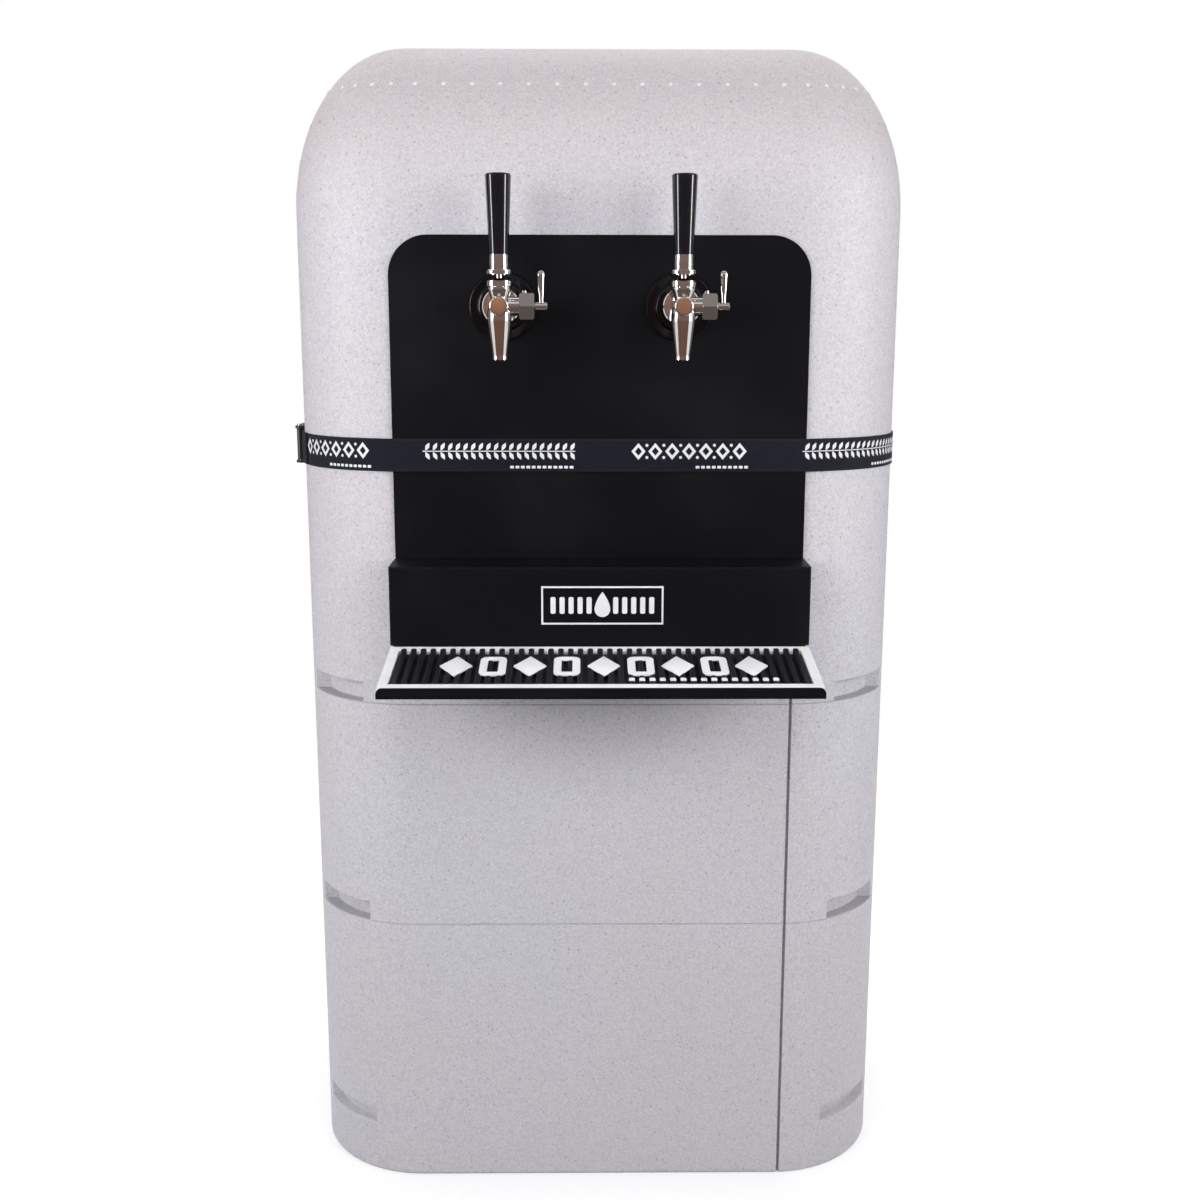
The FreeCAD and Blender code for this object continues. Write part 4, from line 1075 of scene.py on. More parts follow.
@dataclass
class FoamBody:
    """Three stacked bead-foam sections and the small vent nubs of their mould.

    Rows of nubs are given in degrees up the elliptical shoulder, and corner columns in degrees
    round the corner.
    """

    plan: Plan = Plan()
    height: float = 1.335
    shoulder_run: float = 0.126
    shoulder_rise: float = 0.182
    vent_pitch: float = 33.0 * MM
    vent_radius: float = 2.3 * MM
    vent_rise: float = 0.8 * MM
    vent_sunk: float = 0.2 * MM
    vent_sides: int = 10
    vent_rows: tuple[float, ...] = (18.0, 32.0)
    vent_high_row: float = 46.5
    vent_high_pitch: float = 30.9 * MM
    vent_corner: float = 19.5
    vent_column: Pair = (0.655, 1.117)
    strap_band: Pair = (0.86, 0.915)

    def skin(self, along: float, lift: float) -> tuple[Vector, Vector]:
        """A point of the hood's skin.

        Args:
            along: Metres round the plan's outline, from the middle of the front.
            lift: Degrees up the shoulder, from 0 where it starts.

        Returns:
            The point and the outward normal.
        """
        point, out = self.outline(along)
        land = self.plan.corner - self.shoulder_run
        angle = math.radians(lift)
        reach = land + self.shoulder_run * math.cos(angle)
        z = self.height - self.shoulder_rise + self.shoulder_rise * math.sin(angle)
        normal = Vector((out.x * math.cos(angle) / self.shoulder_run,
                         out.y * math.cos(angle) / self.shoulder_run,
                         math.sin(angle) / self.shoulder_rise)).normalized()
        return point + out * reach + Vector((0, 0, z)), normal

    def outline(self, along: float) -> tuple[Vector, Vector]:
        """Walk round the plan's inner rectangle, with quarter turns at its corners.

        Args:
            along: Metres from the middle of the front, on the skin's full outline.

        Returns:
            The point on the inner rectangle and the outward direction.
        """
        quarter = self.plan.corner * math.pi / 2
        x, y = self.plan.inner_x, self.plan.inner_y
        runs = ((x, (0, -y), (1, 0), -90.0), (quarter, (x, -y), None, -90.0),
                (2 * y, (x, -y), (0, 1), 0.0), (quarter, (x, y), None, 0.0),
                (2 * x, (x, y), (-1, 0), 90.0), (quarter, (-x, y), None, 90.0),
                (2 * y, (-x, y), (0, -1), 180.0), (quarter, (-x, -y), None, 180.0),
                (x, (-x, -y), (1, 0), 270.0))
        left = along % self.plan.length
        for length, start, step, turn in runs:
            if left <= length:
                break
            left -= length
        base = Vector((*start, 0))
        if step is not None:
            base += Vector((*step, 0)) * left
        else:
            turn += 90.0 * left / length
        angle = math.radians(turn)
        return base, Vector((math.cos(angle), math.sin(angle), 0))

    def vent_ring(self, lift: float, pitch: float) -> list[Matrix]:
        """Where the vent nubs stand on one ring round the shoulder.

        Args:
            lift: Degrees up the shoulder.
            pitch: Distance between nubs, taken on the plan's outline.

        Returns:
            One matrix for each nub.
        """
        total = self.plan.length
        count = round(total / pitch)
        return [self.stand(*self.skin((number + 0.5) * total / count, lift))
                for number in range(count)]

    def vent_places(self) -> list[Matrix]:
        """Where the plain vent nubs stand: rings round the shoulder, columns at the corners.

        Returns:
            One matrix for each nub.
        """
        places = [place for lift in self.vent_rows
                  for place in self.vent_ring(lift, self.vent_pitch)]
        low, high = self.vent_column
        heights = [low + number * self.vent_pitch
                   for number in range(round((high - low) / self.vent_pitch) + 1)]
        band_low, band_high = self.strap_band
        total = self.plan.length
        for turn in (self.vent_corner, 90.0 - self.vent_corner):
            offset = self.plan.inner_x + self.plan.corner * math.radians(turn)
            for along in (offset, total - offset, total / 2 - offset, total / 2 + offset):
                point, normal = self.skin(along, 0.0)
                places += [self.stand(Vector((point.x, point.y, height)), normal)
                           for height in heights if not band_low < height < band_high]
        return places

    def stand(self, point: Vector, normal: Vector) -> Matrix:
        """Matrix that stands a piece made along +Z on a point of the skin."""
        turn = normal.to_track_quat("Z", "Y").to_matrix().to_4x4()
        return Matrix.Translation(point - normal * self.vent_sunk) @ turn

    def build(self) -> None:
        """Make the vent nubs; their highest ring gets a painted highlight, paler than the foam."""
        high_ring = self.vent_ring(self.vent_high_row, self.vent_high_pitch)
        for name, places, finish in (("hood_vent_nubs", self.vent_places(), FOAM),
                                     ("hood_vent_nubs_high", high_ring, VENT_HIGHLIGHT)):
            nub = Workpiece.disc("vent_nub", self.vent_radius, self.vent_rise, self.vent_sides)
            nub.round_edges(self.vent_rise / 2, angle=60.0)
            nubs = nub.stamped(name, places)
            nubs.smooth(60.0)
            nubs.finish(finish, Body.HOOD, Slot.FOAM)

    def dress(self) -> None:
        """Give the foam sections their finish."""
        dress(FOAM, "base_tub", "middle_ring", "hood_shell")


# ------------------------------------------------------------------ sheet-metal front
@dataclass
class TapFront:
    """Tap plate, shelf and drip tray, with a printed frame and a plain motif on the shelf."""

    shelf_face_y: float = -0.365
    frame_left: float = -64.0 * MM
    frame_right: float = 69.0 * MM
    frame_low: float = 0.7085
    frame_high: float = 0.7510
    frame_line: float = 2.0 * MM
    print_rise: float = 0.12 * MM
    bar_height: float = 18.5 * MM
    bar_width: float = 5.6 * MM
    bar_corner: float = 1.68 * MM
    bar_gap: float = 5.88 * MM
    bar_pitch: float = 9.8 * MM
    bar_count: int = 5
    drop_radius: float = 8.6 * MM
    drop_point: float = 19.5 * MM
    drop_taper: float = 1.5
    drop_sides: int = 40
    edge_rounding: float = 0.45 * MM

    def build(self) -> None:
        """Make the sheet pieces with soft edges, and the printed frame and motif."""
        for node in ("tap_plate", "shelf_box", "drip_tray"):
            soften(node, Body.HOOD, COAT, Slot.SHEET, self.edge_rounding)
        self.printed_frame()
        self.printed_bars()
        self.printed_drop()

    def middle(self, x: float = 0.0, z: float = 0.0, out: float = 0.0) -> Vector:
        """A place on the shelf's face, counted from the middle of the print.

        Args:
            x: How far to the right.
            z: How far up.
            out: How far into the face.

        Returns:
            The place.
        """
        return Vector(((self.frame_left + self.frame_right) / 2 + x, self.shelf_face_y + out,
                       (self.frame_low + self.frame_high) / 2 + z))

    def upright(self, x: float = 0.0, z: float = 0.0) -> Matrix:
        """Matrix that turns a piece made along +Z to the front and sets it on the face.

        Args:
            x: How far to the right of the print's middle.
            z: How far above it.

        Returns:
            The matrix.
        """
        place = self.middle(x, z, self.print_rise / 2)
        return Matrix.Translation(place) @ Matrix.Rotation(math.pi / 2, 4, "X")

    def printed_frame(self) -> None:
        """Thin printed rectangle: a sheet inset to its line and opened."""
        size = (self.frame_right - self.frame_left, self.print_rise,
                self.frame_high - self.frame_low)
        piece = Workpiece.block("shelf_print_frame", size, self.middle())
        piece.pierce(self.frame_line, (0, 1, 0))
        piece.finish(PRINT_INK, Body.HOOD, Slot.MAT_WHITE)

    def printed_bars(self) -> None:
        """Two groups of upright bars with round corners."""
        bar = tablet("bar", (self.bar_width, self.bar_height, self.print_rise), self.bar_corner)
        first = self.drop_radius + self.bar_gap
        bars = bar.stamped("shelf_print_bars", [
            self.upright(sign * (first + number * self.bar_pitch))
            for sign in (-1, 1) for number in range(self.bar_count)])
        bars.finish(PRINT_INK, Body.HOOD, Slot.MAT_WHITE)

    def printed_drop(self) -> None:
        """A drop between the bars: a round blank drawn out to a point above."""
        drop = Workpiece.disc("shelf_print_drop", self.drop_radius, self.print_rise,
                              self.drop_sides)
        for corner in drop.obj.data.vertices:
            if corner.co.y > 0:
                share = corner.co.y / self.drop_radius
                corner.co.x *= math.sqrt(1 - share ** self.drop_taper) if share < 1 else 0.0
                corner.co.y = share * self.drop_point
        drop.move(self.upright(z=-self.drop_radius / 2))
        drop.finish(PRINT_INK, Body.HOOD, Slot.MAT_WHITE)


# ------------------------------------------------------------------ bar mat
@dataclass
class BarMat:
    """Ribbed mat with a pale border, round rib ends over its rear strip and a raised motif."""

    pan_datum_y: float = -0.365
    pan_datum_z: float = 0.6752
    slope: float = 8.3
    thickness: float = 9.0 * MM
    rib_width: float = 6.2 * MM
    rib_pitch: float = 10.65 * MM
    rib_count: int = 41
    rear_inner_y: float = -0.3761
    border_rounding: float = 0.8 * MM
    end_reach: float = 1.2 * MM
    end_height: float = 1.6 * MM
    end_sunk: float = 1.1 * MM
    end_back: float = 1.0 * MM
    end_rounding: float = 0.5 * MM
    end_sides: int = 20
    motif_count: int = 9
    motif_rounding: float = 0.7 * MM
    motif_centre_x: float = 3.5 * MM
    motif_centre_y: float = -0.4225
    motif_pitch: float = 39.0 * MM
    motif_width: float = 35.0 * MM
    motif_depth: float = 54.0 * MM
    motif_rise: float = 1.1 * MM
    motif_sunk: float = 0.9 * MM
    link_width: float = 28.0 * MM
    link_depth: float = 50.0 * MM
    link_corner: float = 8.0 * MM
    link_wall: float = 8.2 * MM
    pip_count: int = 15
    pip_first_rib: int = 23
    pip_y: float = -0.4585
    pip_depth: float = 7.0 * MM
    pip_corner: float = 1.86 * MM

    def pan(self, y: float) -> float:
        """Height of the tray's pan at y."""
        return self.pan_datum_z - (self.pan_datum_y - y) * math.tan(math.radians(self.slope))

    def rib_x(self, number: int) -> float:
        """Place across of a rib, counted from the left."""
        return (number - (self.rib_count - 1) / 2) * self.rib_pitch

    def on_top(self, x: float, y: float, rise: float) -> Matrix:
        """Matrix that lays a piece made along +Z on the ribs.

        Args:
            x: Its place across.
            y: Its place from front to back.
            rise: How far it stands above the ribs.

        Returns:
            The matrix.
        """
        tilt = Matrix.Rotation(math.radians(self.slope), 4, "X")
        return Matrix.Translation((x, y, self.pan(y) + self.thickness + rise)) @ tilt

    def build(self) -> None:
        """Make rib ends and motif."""
        soften("mat_border", Body.MAT, PALE_RUBBER, Slot.MAT_WHITE, self.border_rounding)
        self.rib_ends()
        self.motif()

    def rib_ends(self) -> None:
        """Round ends of the ribs over the border's rear strip: half a disc, drawn forward."""
        tip = Workpiece.disc("rib_end", self.rib_width / 2, self.end_height, self.end_sides)
        tip.edit("FACE")
        bpy.ops.mesh.select_all(action="SELECT")
        bpy.ops.mesh.bisect(plane_co=(0, 0, 0), plane_no=(0, 1, 0), use_fill=True, clear_inner=True)
        tip.pick(lambda _, normal: normal.y < -FACING)
        tip.push(Vector((0, -self.end_reach - self.end_back, 0)))
        tip.done()
        tip.round_edges(self.end_rounding, angle=50.0)
        tips = tip.stamped("mat_rib_ends", [
            self.on_top(self.rib_x(number), self.rear_inner_y + self.end_reach, -self.end_sunk)
            for number in range(self.rib_count)])
        tips.smooth(50.0)
        tips.finish(RIBBED, Body.MAT, Slot.MAT_BLACK)

    def motif(self) -> None:
        """Row of raised lozenges and links in turn, with small pips before its right half."""
        height = self.motif_rise + self.motif_sunk
        lozenge = Workpiece.disc("lozenge", 1.0, height, 4)
        lozenge.move(Matrix.Diagonal((self.motif_width / 2, self.motif_depth / 2, 1, 1)))
        link = tablet("link", (self.link_width, self.link_depth, height), self.link_corner)
        link.pierce(self.link_wall)
        pip = tablet("pip", (self.rib_width, self.pip_depth, height), self.pip_corner)
        middle = (self.motif_count - 1) / 2
        xs = [self.motif_centre_x + (number - middle) * self.motif_pitch
              for number in range(self.motif_count)]
        pips = [self.rib_x(self.pip_first_rib + number) for number in range(self.pip_count)]
        for pattern, name, chosen, y in (
                (lozenge, "mat_motif_lozenges", xs[0::2], self.motif_centre_y),
                (link, "mat_motif_links", xs[1::2], self.motif_centre_y),
                (pip, "mat_motif_pips", pips, self.pip_y)):
            pattern.round_edges(self.motif_rounding, angle=40.0)
            row = pattern.stamped(name, [self.on_top(x, y, -self.motif_sunk) for x in chosen])
            row.smooth(40.0)
            row.finish(PALE_RUBBER, Body.MAT, Slot.MAT_WHITE)


# ------------------------------------------------------------------ girth strap
@dataclass
class GirthStrap:
    """Webbing drawn tight round hood and plate, its sewn end, free tail and printed marks."""

    low: float = 0.8688
    width: float = 36.5 * MM
    thickness: float = 1.5 * MM
    gap: float = 0.35 * MM
    ply_gap: float = 0.1 * MM
    plan: Plan = Plan()
    plate_half: float = 0.2295
    plate_front: float = 0.303
    tail_start: float = -0.1145
    tail_length: float = 0.190
    sewn_start: float = -0.1655
    sewn_length: float = 0.062
    arc_steps: int = 22
    side_step: float = 8.0 * MM
    rows: tuple[float, ...] = (0.0, 0.07, 0.5, 0.93, 1.0)
    sag: float = 0.35 * MM
    sag_wave: float = 9.0
    tail_phase: float = 1.3
    sewn_phase: float = 0.6
    edge_rounding: float = 0.45 * MM
    buckle_rounding: float = 0.4 * MM
    stitch_size: Triple = (0.5 * MM, 2.3 * MM, 0.7 * MM)
    stitch_rounding: float = 0.2 * MM
    stitch_pitch: float = 3.6 * MM
    stitch_inset: Pair = (6.0 * MM, 4.0 * MM)
    hem_inset: float = 12.0 * MM
    hem_apart: float = 4.0 * MM
    mark_repeat: float = 421.0 * MM
    mark_span: Pair = (-0.360, 1.690)
    mark_height: float = 18.6 * MM
    mark_lift: float = 4.4 * MM
    ink_rise: float = 0.10 * MM
    ink_lift: float = 0.02 * MM
    ear_middle: float = -111.6 * MM
    ear_length: float = 169.0 * MM
    ear_pitch: float = 8.45 * MM
    grain_lean: float = 28.0
    grain_size: Pair = (2.3 * MM, 4.836 * MM)
    grain_place: Pair = (1.2 * MM, 5.022 * MM)
    grain_taper: float = 1.5
    grain_sides: int = 12
    stem_width: float = 1.0 * MM
    stem_corner: float = 0.2 * MM
    lozenge_middle: float = 99.0 * MM
    lozenge_length: float = 131.0 * MM
    lozenge_pitch: float = 18.7 * MM
    lozenge_half: float = 7.854 * MM
    lozenge_line: float = 2.992 * MM
    dot_radius: float = 1.7 * MM
    dot_offset: float = 6.696 * MM
    dot_sides: int = 10
    dash_pitch: float = 6.0 * MM
    dash_length: float = 4.2 * MM
    dash_width: float = 3.0 * MM
    dash_corner: float = 0.8 * MM
    dash_drop: float = 13.2 * MM
    dash_share: float = 0.44

    def path(self, gap: float) -> list[Vector]:
        """Closed loop in plan at a distance from the skin, from the middle of the front.

        Args:
            gap: Distance from the foam's skin and the plate's edges.

        Returns:
            Points anticlockwise seen from above, the first not repeated.
        """
        radius = self.plan.corner + gap
        cx, cy = self.plan.inner_x, self.plan.inner_y
        edge = Vector((self.plate_half, -self.plate_front - gap))
        away = edge - Vector((cx, -cy))
        lean = math.atan2(away.y, away.x) + math.acos(radius / away.length)
        right = [Vector((0, edge.y)), Vector((self.plate_half / 2, edge.y)), edge]
        for number in range(self.arc_steps + 1):
            angle = lean * (1 - number / self.arc_steps)
            right.append(Vector((cx + radius * math.cos(angle), -cy + radius * math.sin(angle))))
        for share in (0.25, 0.5, 0.75):
            right.append(Vector((cx + radius, -cy + 2 * cy * share)))
        for number in range(self.arc_steps + 1):
            angle = math.pi / 2 * number / self.arc_steps
            right.append(Vector((cx + radius * math.cos(angle), cy + radius * math.sin(angle))))
        right.append(Vector((cx / 2, cy + radius)))
        rear = [Vector((0, cy + radius))]
        left = [Vector((-point.x, point.y)) for point in reversed(right[1:])]
        return right + rear + left

    def lengths(self, points: list[Vector]) -> list[float]:
        """Measure along the loop.

        Args:
            points: The loop's points.

        Returns:
            The length to each point, and to the first again.
        """
        total = [0.0]
        for here, there in zip(points, points[1:] + points[:1]):
            total.append(total[-1] + (there - here).length)
        return total

    def wave(self, length: float, phase: float = 0.0) -> float:
        """How far the strap's middle wanders up or down at a length along it."""
        return self.sag * math.sin(self.sag_wave * length + phase)

    def band(self, name: str, points: list[Vector], closed: bool, phase: float) -> Workpiece:
        """Sheet of webbing along plan points, with its own map, given a thickness.

        Args:
            name: The piece's name.
            points: Plan points along its middle.
            closed: Whether the last joins the first.
            phase: Where its slight wave starts.

        Returns:
            The strap piece.
        """
        along = self.lengths(points)
        verts, faces, maps = [], [], []
        for point, length in zip(points, along):
            low = self.low + self.wave(length, phase)
            verts += [(point.x, point.y, low + self.width * row) for row in self.rows]
        count, high = len(points), len(self.rows)
        for number in range(count if closed else count - 1):
            after = (number + 1) % count
            for row in range(high - 1):
                faces.append((number * high + row, after * high + row,
                              after * high + row + 1, number * high + row + 1))
                below, above = ((self.rows[row + step] - 0.5) * self.width for step in (0, 1))
                maps += [(below, along[number]), (below, along[number + 1]),
                         (above, along[number + 1]), (above, along[number])]
        mesh = bpy.data.meshes.new(name)
        mesh.from_pydata(verts, [], faces)
        layer = mesh.uv_layers.new(name="weave")
        for loop, place in zip(layer.data, maps):
            loop.uv = place
        piece = Workpiece(name, stood(name, mesh))
        piece.take()
        wall = piece.obj.modifiers.new("wall", "SOLIDIFY")
        wall.thickness = self.thickness
        wall.offset = 0.0
        bpy.ops.object.modifier_apply(modifier=wall.name)
        piece.round_edges(self.edge_rounding, angle=60.0)
        piece.smooth(50.0)
        return piece

    def side_points(self, start: float, length: float, gap: float, sign: int) -> list[Vector]:
        """Plan points on the left side and round its corner.

        Args:
            start: y where the ply starts.
            length: How long it is.
            gap: Distance from the skin to its middle.
            sign: 1 towards the rear, -1 towards the front.

        Returns:
            Points a few millimetres apart.
        """
        cx, cy = self.plan.inner_x, self.plan.inner_y
        radius = self.plan.corner + gap
        straight = cy - sign * start
        points = []
        steps = max(6, round(length / self.side_step))
        for number in range(steps + 1):
            run = length * number / steps
            if run <= straight:
                points.append(Vector((-cx - radius, start + sign * run)))
            else:
                angle = (run - straight) / radius
                points.append(Vector((-cx - radius * math.cos(angle),
                                      sign * (cy + radius * math.sin(angle)))))
        return points if sign < 0 else points[::-1]

    def build(self) -> None:
        """Make the loop, the tail, the sewn end, the stitches and the marks."""
        middle = self.gap + self.thickness / 2
        points = self.path(middle)
        loop = self.band("strap_webbing", points, True, 0.0)
        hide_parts("strap")
        strap = loop.finish(STRAP_CLOTH, Body.HOOD, Slot.WEBBING)
        second = middle + self.thickness + self.ply_gap
        for name, start, length, sign, phase in (
                ("strap_tail", self.tail_start, self.tail_length, 1, self.tail_phase),
                ("strap_sewn_end", self.sewn_start, self.sewn_length, -1, self.sewn_phase)):
            ply = self.band(name, self.side_points(start, length, second, sign), False, phase)
            ply.finish(STRAP_CLOTH, Body.HOOD, Slot.WEBBING)
        self.stitches(second + self.thickness / 2)
        self.marks(middle + self.thickness / 2)

    def stitches(self, skin: float) -> None:
        """Box of stitches with a cross on the sewn end, and a row on the tail's hem.

        Args:
            skin: Distance from the foam's skin to the upper ply's outer face.
        """
        stitch = Workpiece.block("stitch", self.stitch_size)
        stitch.round_edges(self.stitch_rounding, 1, 40.0)
        inset_y, inset_z = self.stitch_inset
        y_far, y_near = self.sewn_start - self.sewn_length + inset_y, self.sewn_start - inset_y
        z_low, z_high = self.low + inset_z, self.low + self.width - inset_z
        corners = [Vector((y_far, z_low)), Vector((y_near, z_low)), Vector((y_near, z_high)),
                   Vector((y_far, z_high))]
        lines = list(zip(corners, corners[1:] + corners[:1]))
        lines += [(corners[0], corners[2]), (corners[1], corners[3])]
        hem = self.tail_start + self.tail_length - self.hem_inset
        lines += [(Vector((y, z_low)), Vector((y, z_high))) for y in (hem, hem + self.hem_apart)]
        places = []
        for start, end in lines:
            steps = max(2, round((end - start).length / self.stitch_pitch))
            turn = Matrix.Rotation(math.atan2(end.y - start.y, end.x - start.x), 4, "X")
            for number in range(steps):
                y, z = start.lerp(end, (number + 0.5) / steps)
                places.append(self.on_side(y, z, skin) @ turn)
        rows = stitch.stamped("strap_stitches", places)
        rows.finish(THREAD, Body.HOOD, Slot.WEBBING)

    def on_side(self, y: float, z: float, gap: float) -> Matrix:
        """Matrix of a place on the left side's strap, local Y along it and X outwards.

        Args:
            y: Place along the side, past the straight part round the corner.
            z: Height.
            gap: Distance from the foam's skin.

        Returns:
            The matrix.
        """
        cx, cy = self.plan.inner_x, self.plan.inner_y
        radius = self.plan.corner + gap
        over = max(0.0, abs(y) - cy)
        angle = math.copysign(over / radius, y)
        place = Vector((-cx - radius * math.cos(angle),
                        max(-cy, min(cy, y)) + radius * math.sin(angle), z))
        return Matrix.Translation(place) @ Matrix.Rotation(-angle, 4, "Z")

    def marks(self, gap: float) -> None:
        """Printed ears of grain and rows of lozenges in turn, with fine dashes under each.

        Args:
            gap: Distance from the foam's skin to the strap's outer face.
        """
        points = self.path(gap)
        along = self.lengths(points)
        lozenge = Workpiece.disc("lozenge", 1.0, self.ink_rise, 4)
        lozenge.move(Matrix.Diagonal((self.lozenge_half, self.mark_height / 2, 1, 1)))
        lozenge.pierce(self.lozenge_line)
        dot = Workpiece.disc("dot", self.dot_radius, self.ink_rise, self.dot_sides)
        dots = dot.stamped("dots", [Matrix.Translation((0, side * self.dot_offset, 0))
                                    for side in (-1, 1)])
        dash = tablet("dash", (self.dash_length, self.dash_width, self.ink_rise),
                      self.dash_corner, 2)
        lift, drop = Vector((0, self.mark_lift, 0)), Vector((0, -self.dash_drop, 0))
        ears = self.steps(self.ear_middle, self.ear_length, self.ear_pitch)
        lozenges = self.steps(self.lozenge_middle, self.lozenge_length, self.lozenge_pitch)
        between = [length + self.lozenge_pitch / 2 for length in lozenges[:-1]]
        dashes = []
        for middle, length in ((self.ear_middle, self.ear_length),
                               (self.lozenge_middle, self.lozenge_length)):
            short = length * self.dash_share
            dashes += self.steps(middle + (length - short) / 2, short, self.dash_pitch)
        for pattern, name, lengths, shift in (
                (self.grain_pair(), "strap_print_ears", ears, lift),
                (lozenge, "strap_print_lozenges", lozenges, lift),
                (dots, "strap_print_dots", between, lift),
                (dash, "strap_print_dashes", dashes, drop)):
            pattern.move(Matrix.Translation(shift))
            row = pattern.stamped(name, [self.on_loop(points, along, length)
                                         for length in self.repeated(lengths)])
            row.finish(PRINT_INK, Body.HOOD, Slot.MAT_WHITE)

    def steps(self, middle: float, length: float, pitch: float) -> list[float]:
        """Places at a pitch that fill a length about its middle."""
        count = round(length / pitch)
        return [middle + (number - (count - 1) / 2) * pitch for number in range(count)]

    def repeated(self, lengths: list[float]) -> list[float]:
        """Repeat places along the loop, except where another ply covers them.

        Args:
            lengths: Places in one repeat of the print.

        Returns:
            All the places.
        """
        low, high = self.mark_span
        first, last = math.floor(low / self.mark_repeat), math.ceil(high / self.mark_repeat)
        turns = range(first - 1, last + 1)
        every = [length + turn * self.mark_repeat for turn in turns for length in lengths]
        return [length for length in every if low < length < high]

    def grain_pair(self) -> Workpiece:
        """Two pointed grains that lean forward from a short stem.

        Returns:
            The pattern of one pair.
        """
        grain = Workpiece.disc("grain", 1.0, self.ink_rise, self.grain_sides)
        half, tall = self.grain_size
        for corner in grain.obj.data.vertices:
            x, y = corner.co.x, corner.co.y
            corner.co.x = math.copysign((1 - min(1.0, abs(y)) ** self.grain_taper) * half, x)
            corner.co.y = y * tall
        ahead, reach = self.grain_place
        pair = grain.stamped("grain_pair", [
            Matrix.Translation((ahead, side * reach, 0)) @ Matrix.Rotation(
                -side * math.radians(self.grain_lean), 4, "Z") for side in (-1, 1)])
        stem = tablet("stem", (self.ear_pitch, self.stem_width, self.ink_rise),
                      self.stem_corner, 1)
        return pair.joined(stem)

    def on_loop(self, points: list[Vector], along: list[float], length: float) -> Matrix:
        """Matrix that lays a piece made along +Z on the strap's outer face.

        Args:
            points: The loop's points.
            along: Their lengths.
            length: Place along the loop, negative to the left.

        Returns:
            The matrix.
        """
        length %= along[-1]
        number = max(i for i, start in enumerate(along[:-1]) if start <= length)
        here, there = points[number], points[(number + 1) % len(points)]
        spot = here.lerp(there, (length - along[number]) / (there - here).length)
        run = (there - here).normalized()
        out = Vector((run.y, -run.x, 0))
        turn = Matrix((Vector((run.x, run.y, 0)), Vector((0, 0, 1)), out)).transposed().to_4x4()
        place = Vector((spot.x, spot.y, self.low + self.width / 2 + self.wave(length)))
        return Matrix.Translation(place + out * self.ink_lift) @ turn

    def dress(self) -> None:
        """Give the buckle its finish."""
        soften("buckle_frame", Body.HOOD, BUCKLE_BLACK, Slot.BUCKLE, self.buckle_rounding)
        dress(BUCKLE_BLACK, "buckle_lever")
        dress(STAINLESS, "buckle_pin")


# ------------------------------------------------------------------ taps
TAP_X = {Side.LEFT: -0.1055, Side.RIGHT: 0.0865}


@dataclass
class Tap:
    """One beer tap on its shank, whose rosette is turned round the tap's own axis."""

    side: Side
    x: float
    height: float = 1.0485
    rim_rounding: float = 1.1 * MM

    def build(self) -> None:
        """Dress the tap's nodes."""
        s = self.side.value
        dress(CHROME, *(f"{name}_{s}" for name in (
            "coupling_nut", "faucet_body", "faucet_spout", "faucet_bonnet", "tap_lever",
            "handle_ferrule", "flow_housing", "flow_lever", "shank")))
        dress(HANDLE, f"tap_handle_{s}")
        dress(STAINLESS, f"faucet_plunger_{s}", f"shank_tail_{s}")
        dress(BRASS, f"shank_lock_nut_{s}", f"tail_nut_{s}")
        rosette = Turned(f"rosette_{s}", (0.027, 0.027, 0.031), 0.18, (self.x, self.height))
        soften(f"shank_flange_{s}", Body.HOOD, rosette, Slot.DARK_STEEL, self.rim_rounding)


# ------------------------------------------------------------------ beer circuit
@dataclass
class BeerCircuit:
    """Inlets, cold plate, risers, couplers and hoses inside the foam."""

    def dress(self) -> None:
        """Give the circuit its finishes."""
        dress(CAST, "cold_plate")
        dress(SOFT_BLACK, "cold_plate_feet", "drain_plug")
        dress(STAINLESS, "inlet_lock_nuts", "hose_clamps")
        for side in Side:
            s = side.value
            dress(STAINLESS, f"inlet_tube_{s}", f"riser_tube_{s}", f"inlet_bulkhead_{s}")
            dress(COUPLER, f"quick_coupler_{s}")
            dress(HOSE, f"beer_line_{s}")


# ------------------------------------------------------------------ studio
@dataclass(frozen=True)
class Softbox:
    """A rectangular studio lamp."""

    name: str
    size: Pair
    place: Triple
    target: Triple
    power: float
    mirrored: bool = False
    spread: float = 180.0

    def build(self) -> None:
        """Hang the lamp."""
        lamp = bpy.data.lights.new(self.name, "AREA")
        lamp.shape = "RECTANGLE"
        lamp.size, lamp.size_y = self.size
        lamp.energy = self.power
        lamp.spread = math.radians(self.spread)
        obj = bpy.data.objects.new(self.name, lamp)
        obj.location = self.place
        away = Vector(self.place) - Vector(self.target)
        obj.rotation_euler = away.to_track_quat("Z", "Y").to_euler()
        obj.visible_glossy = self.mirrored
        obj.visible_diffuse = not self.mirrored
        bpy.context.scene.collection.objects.link(obj)


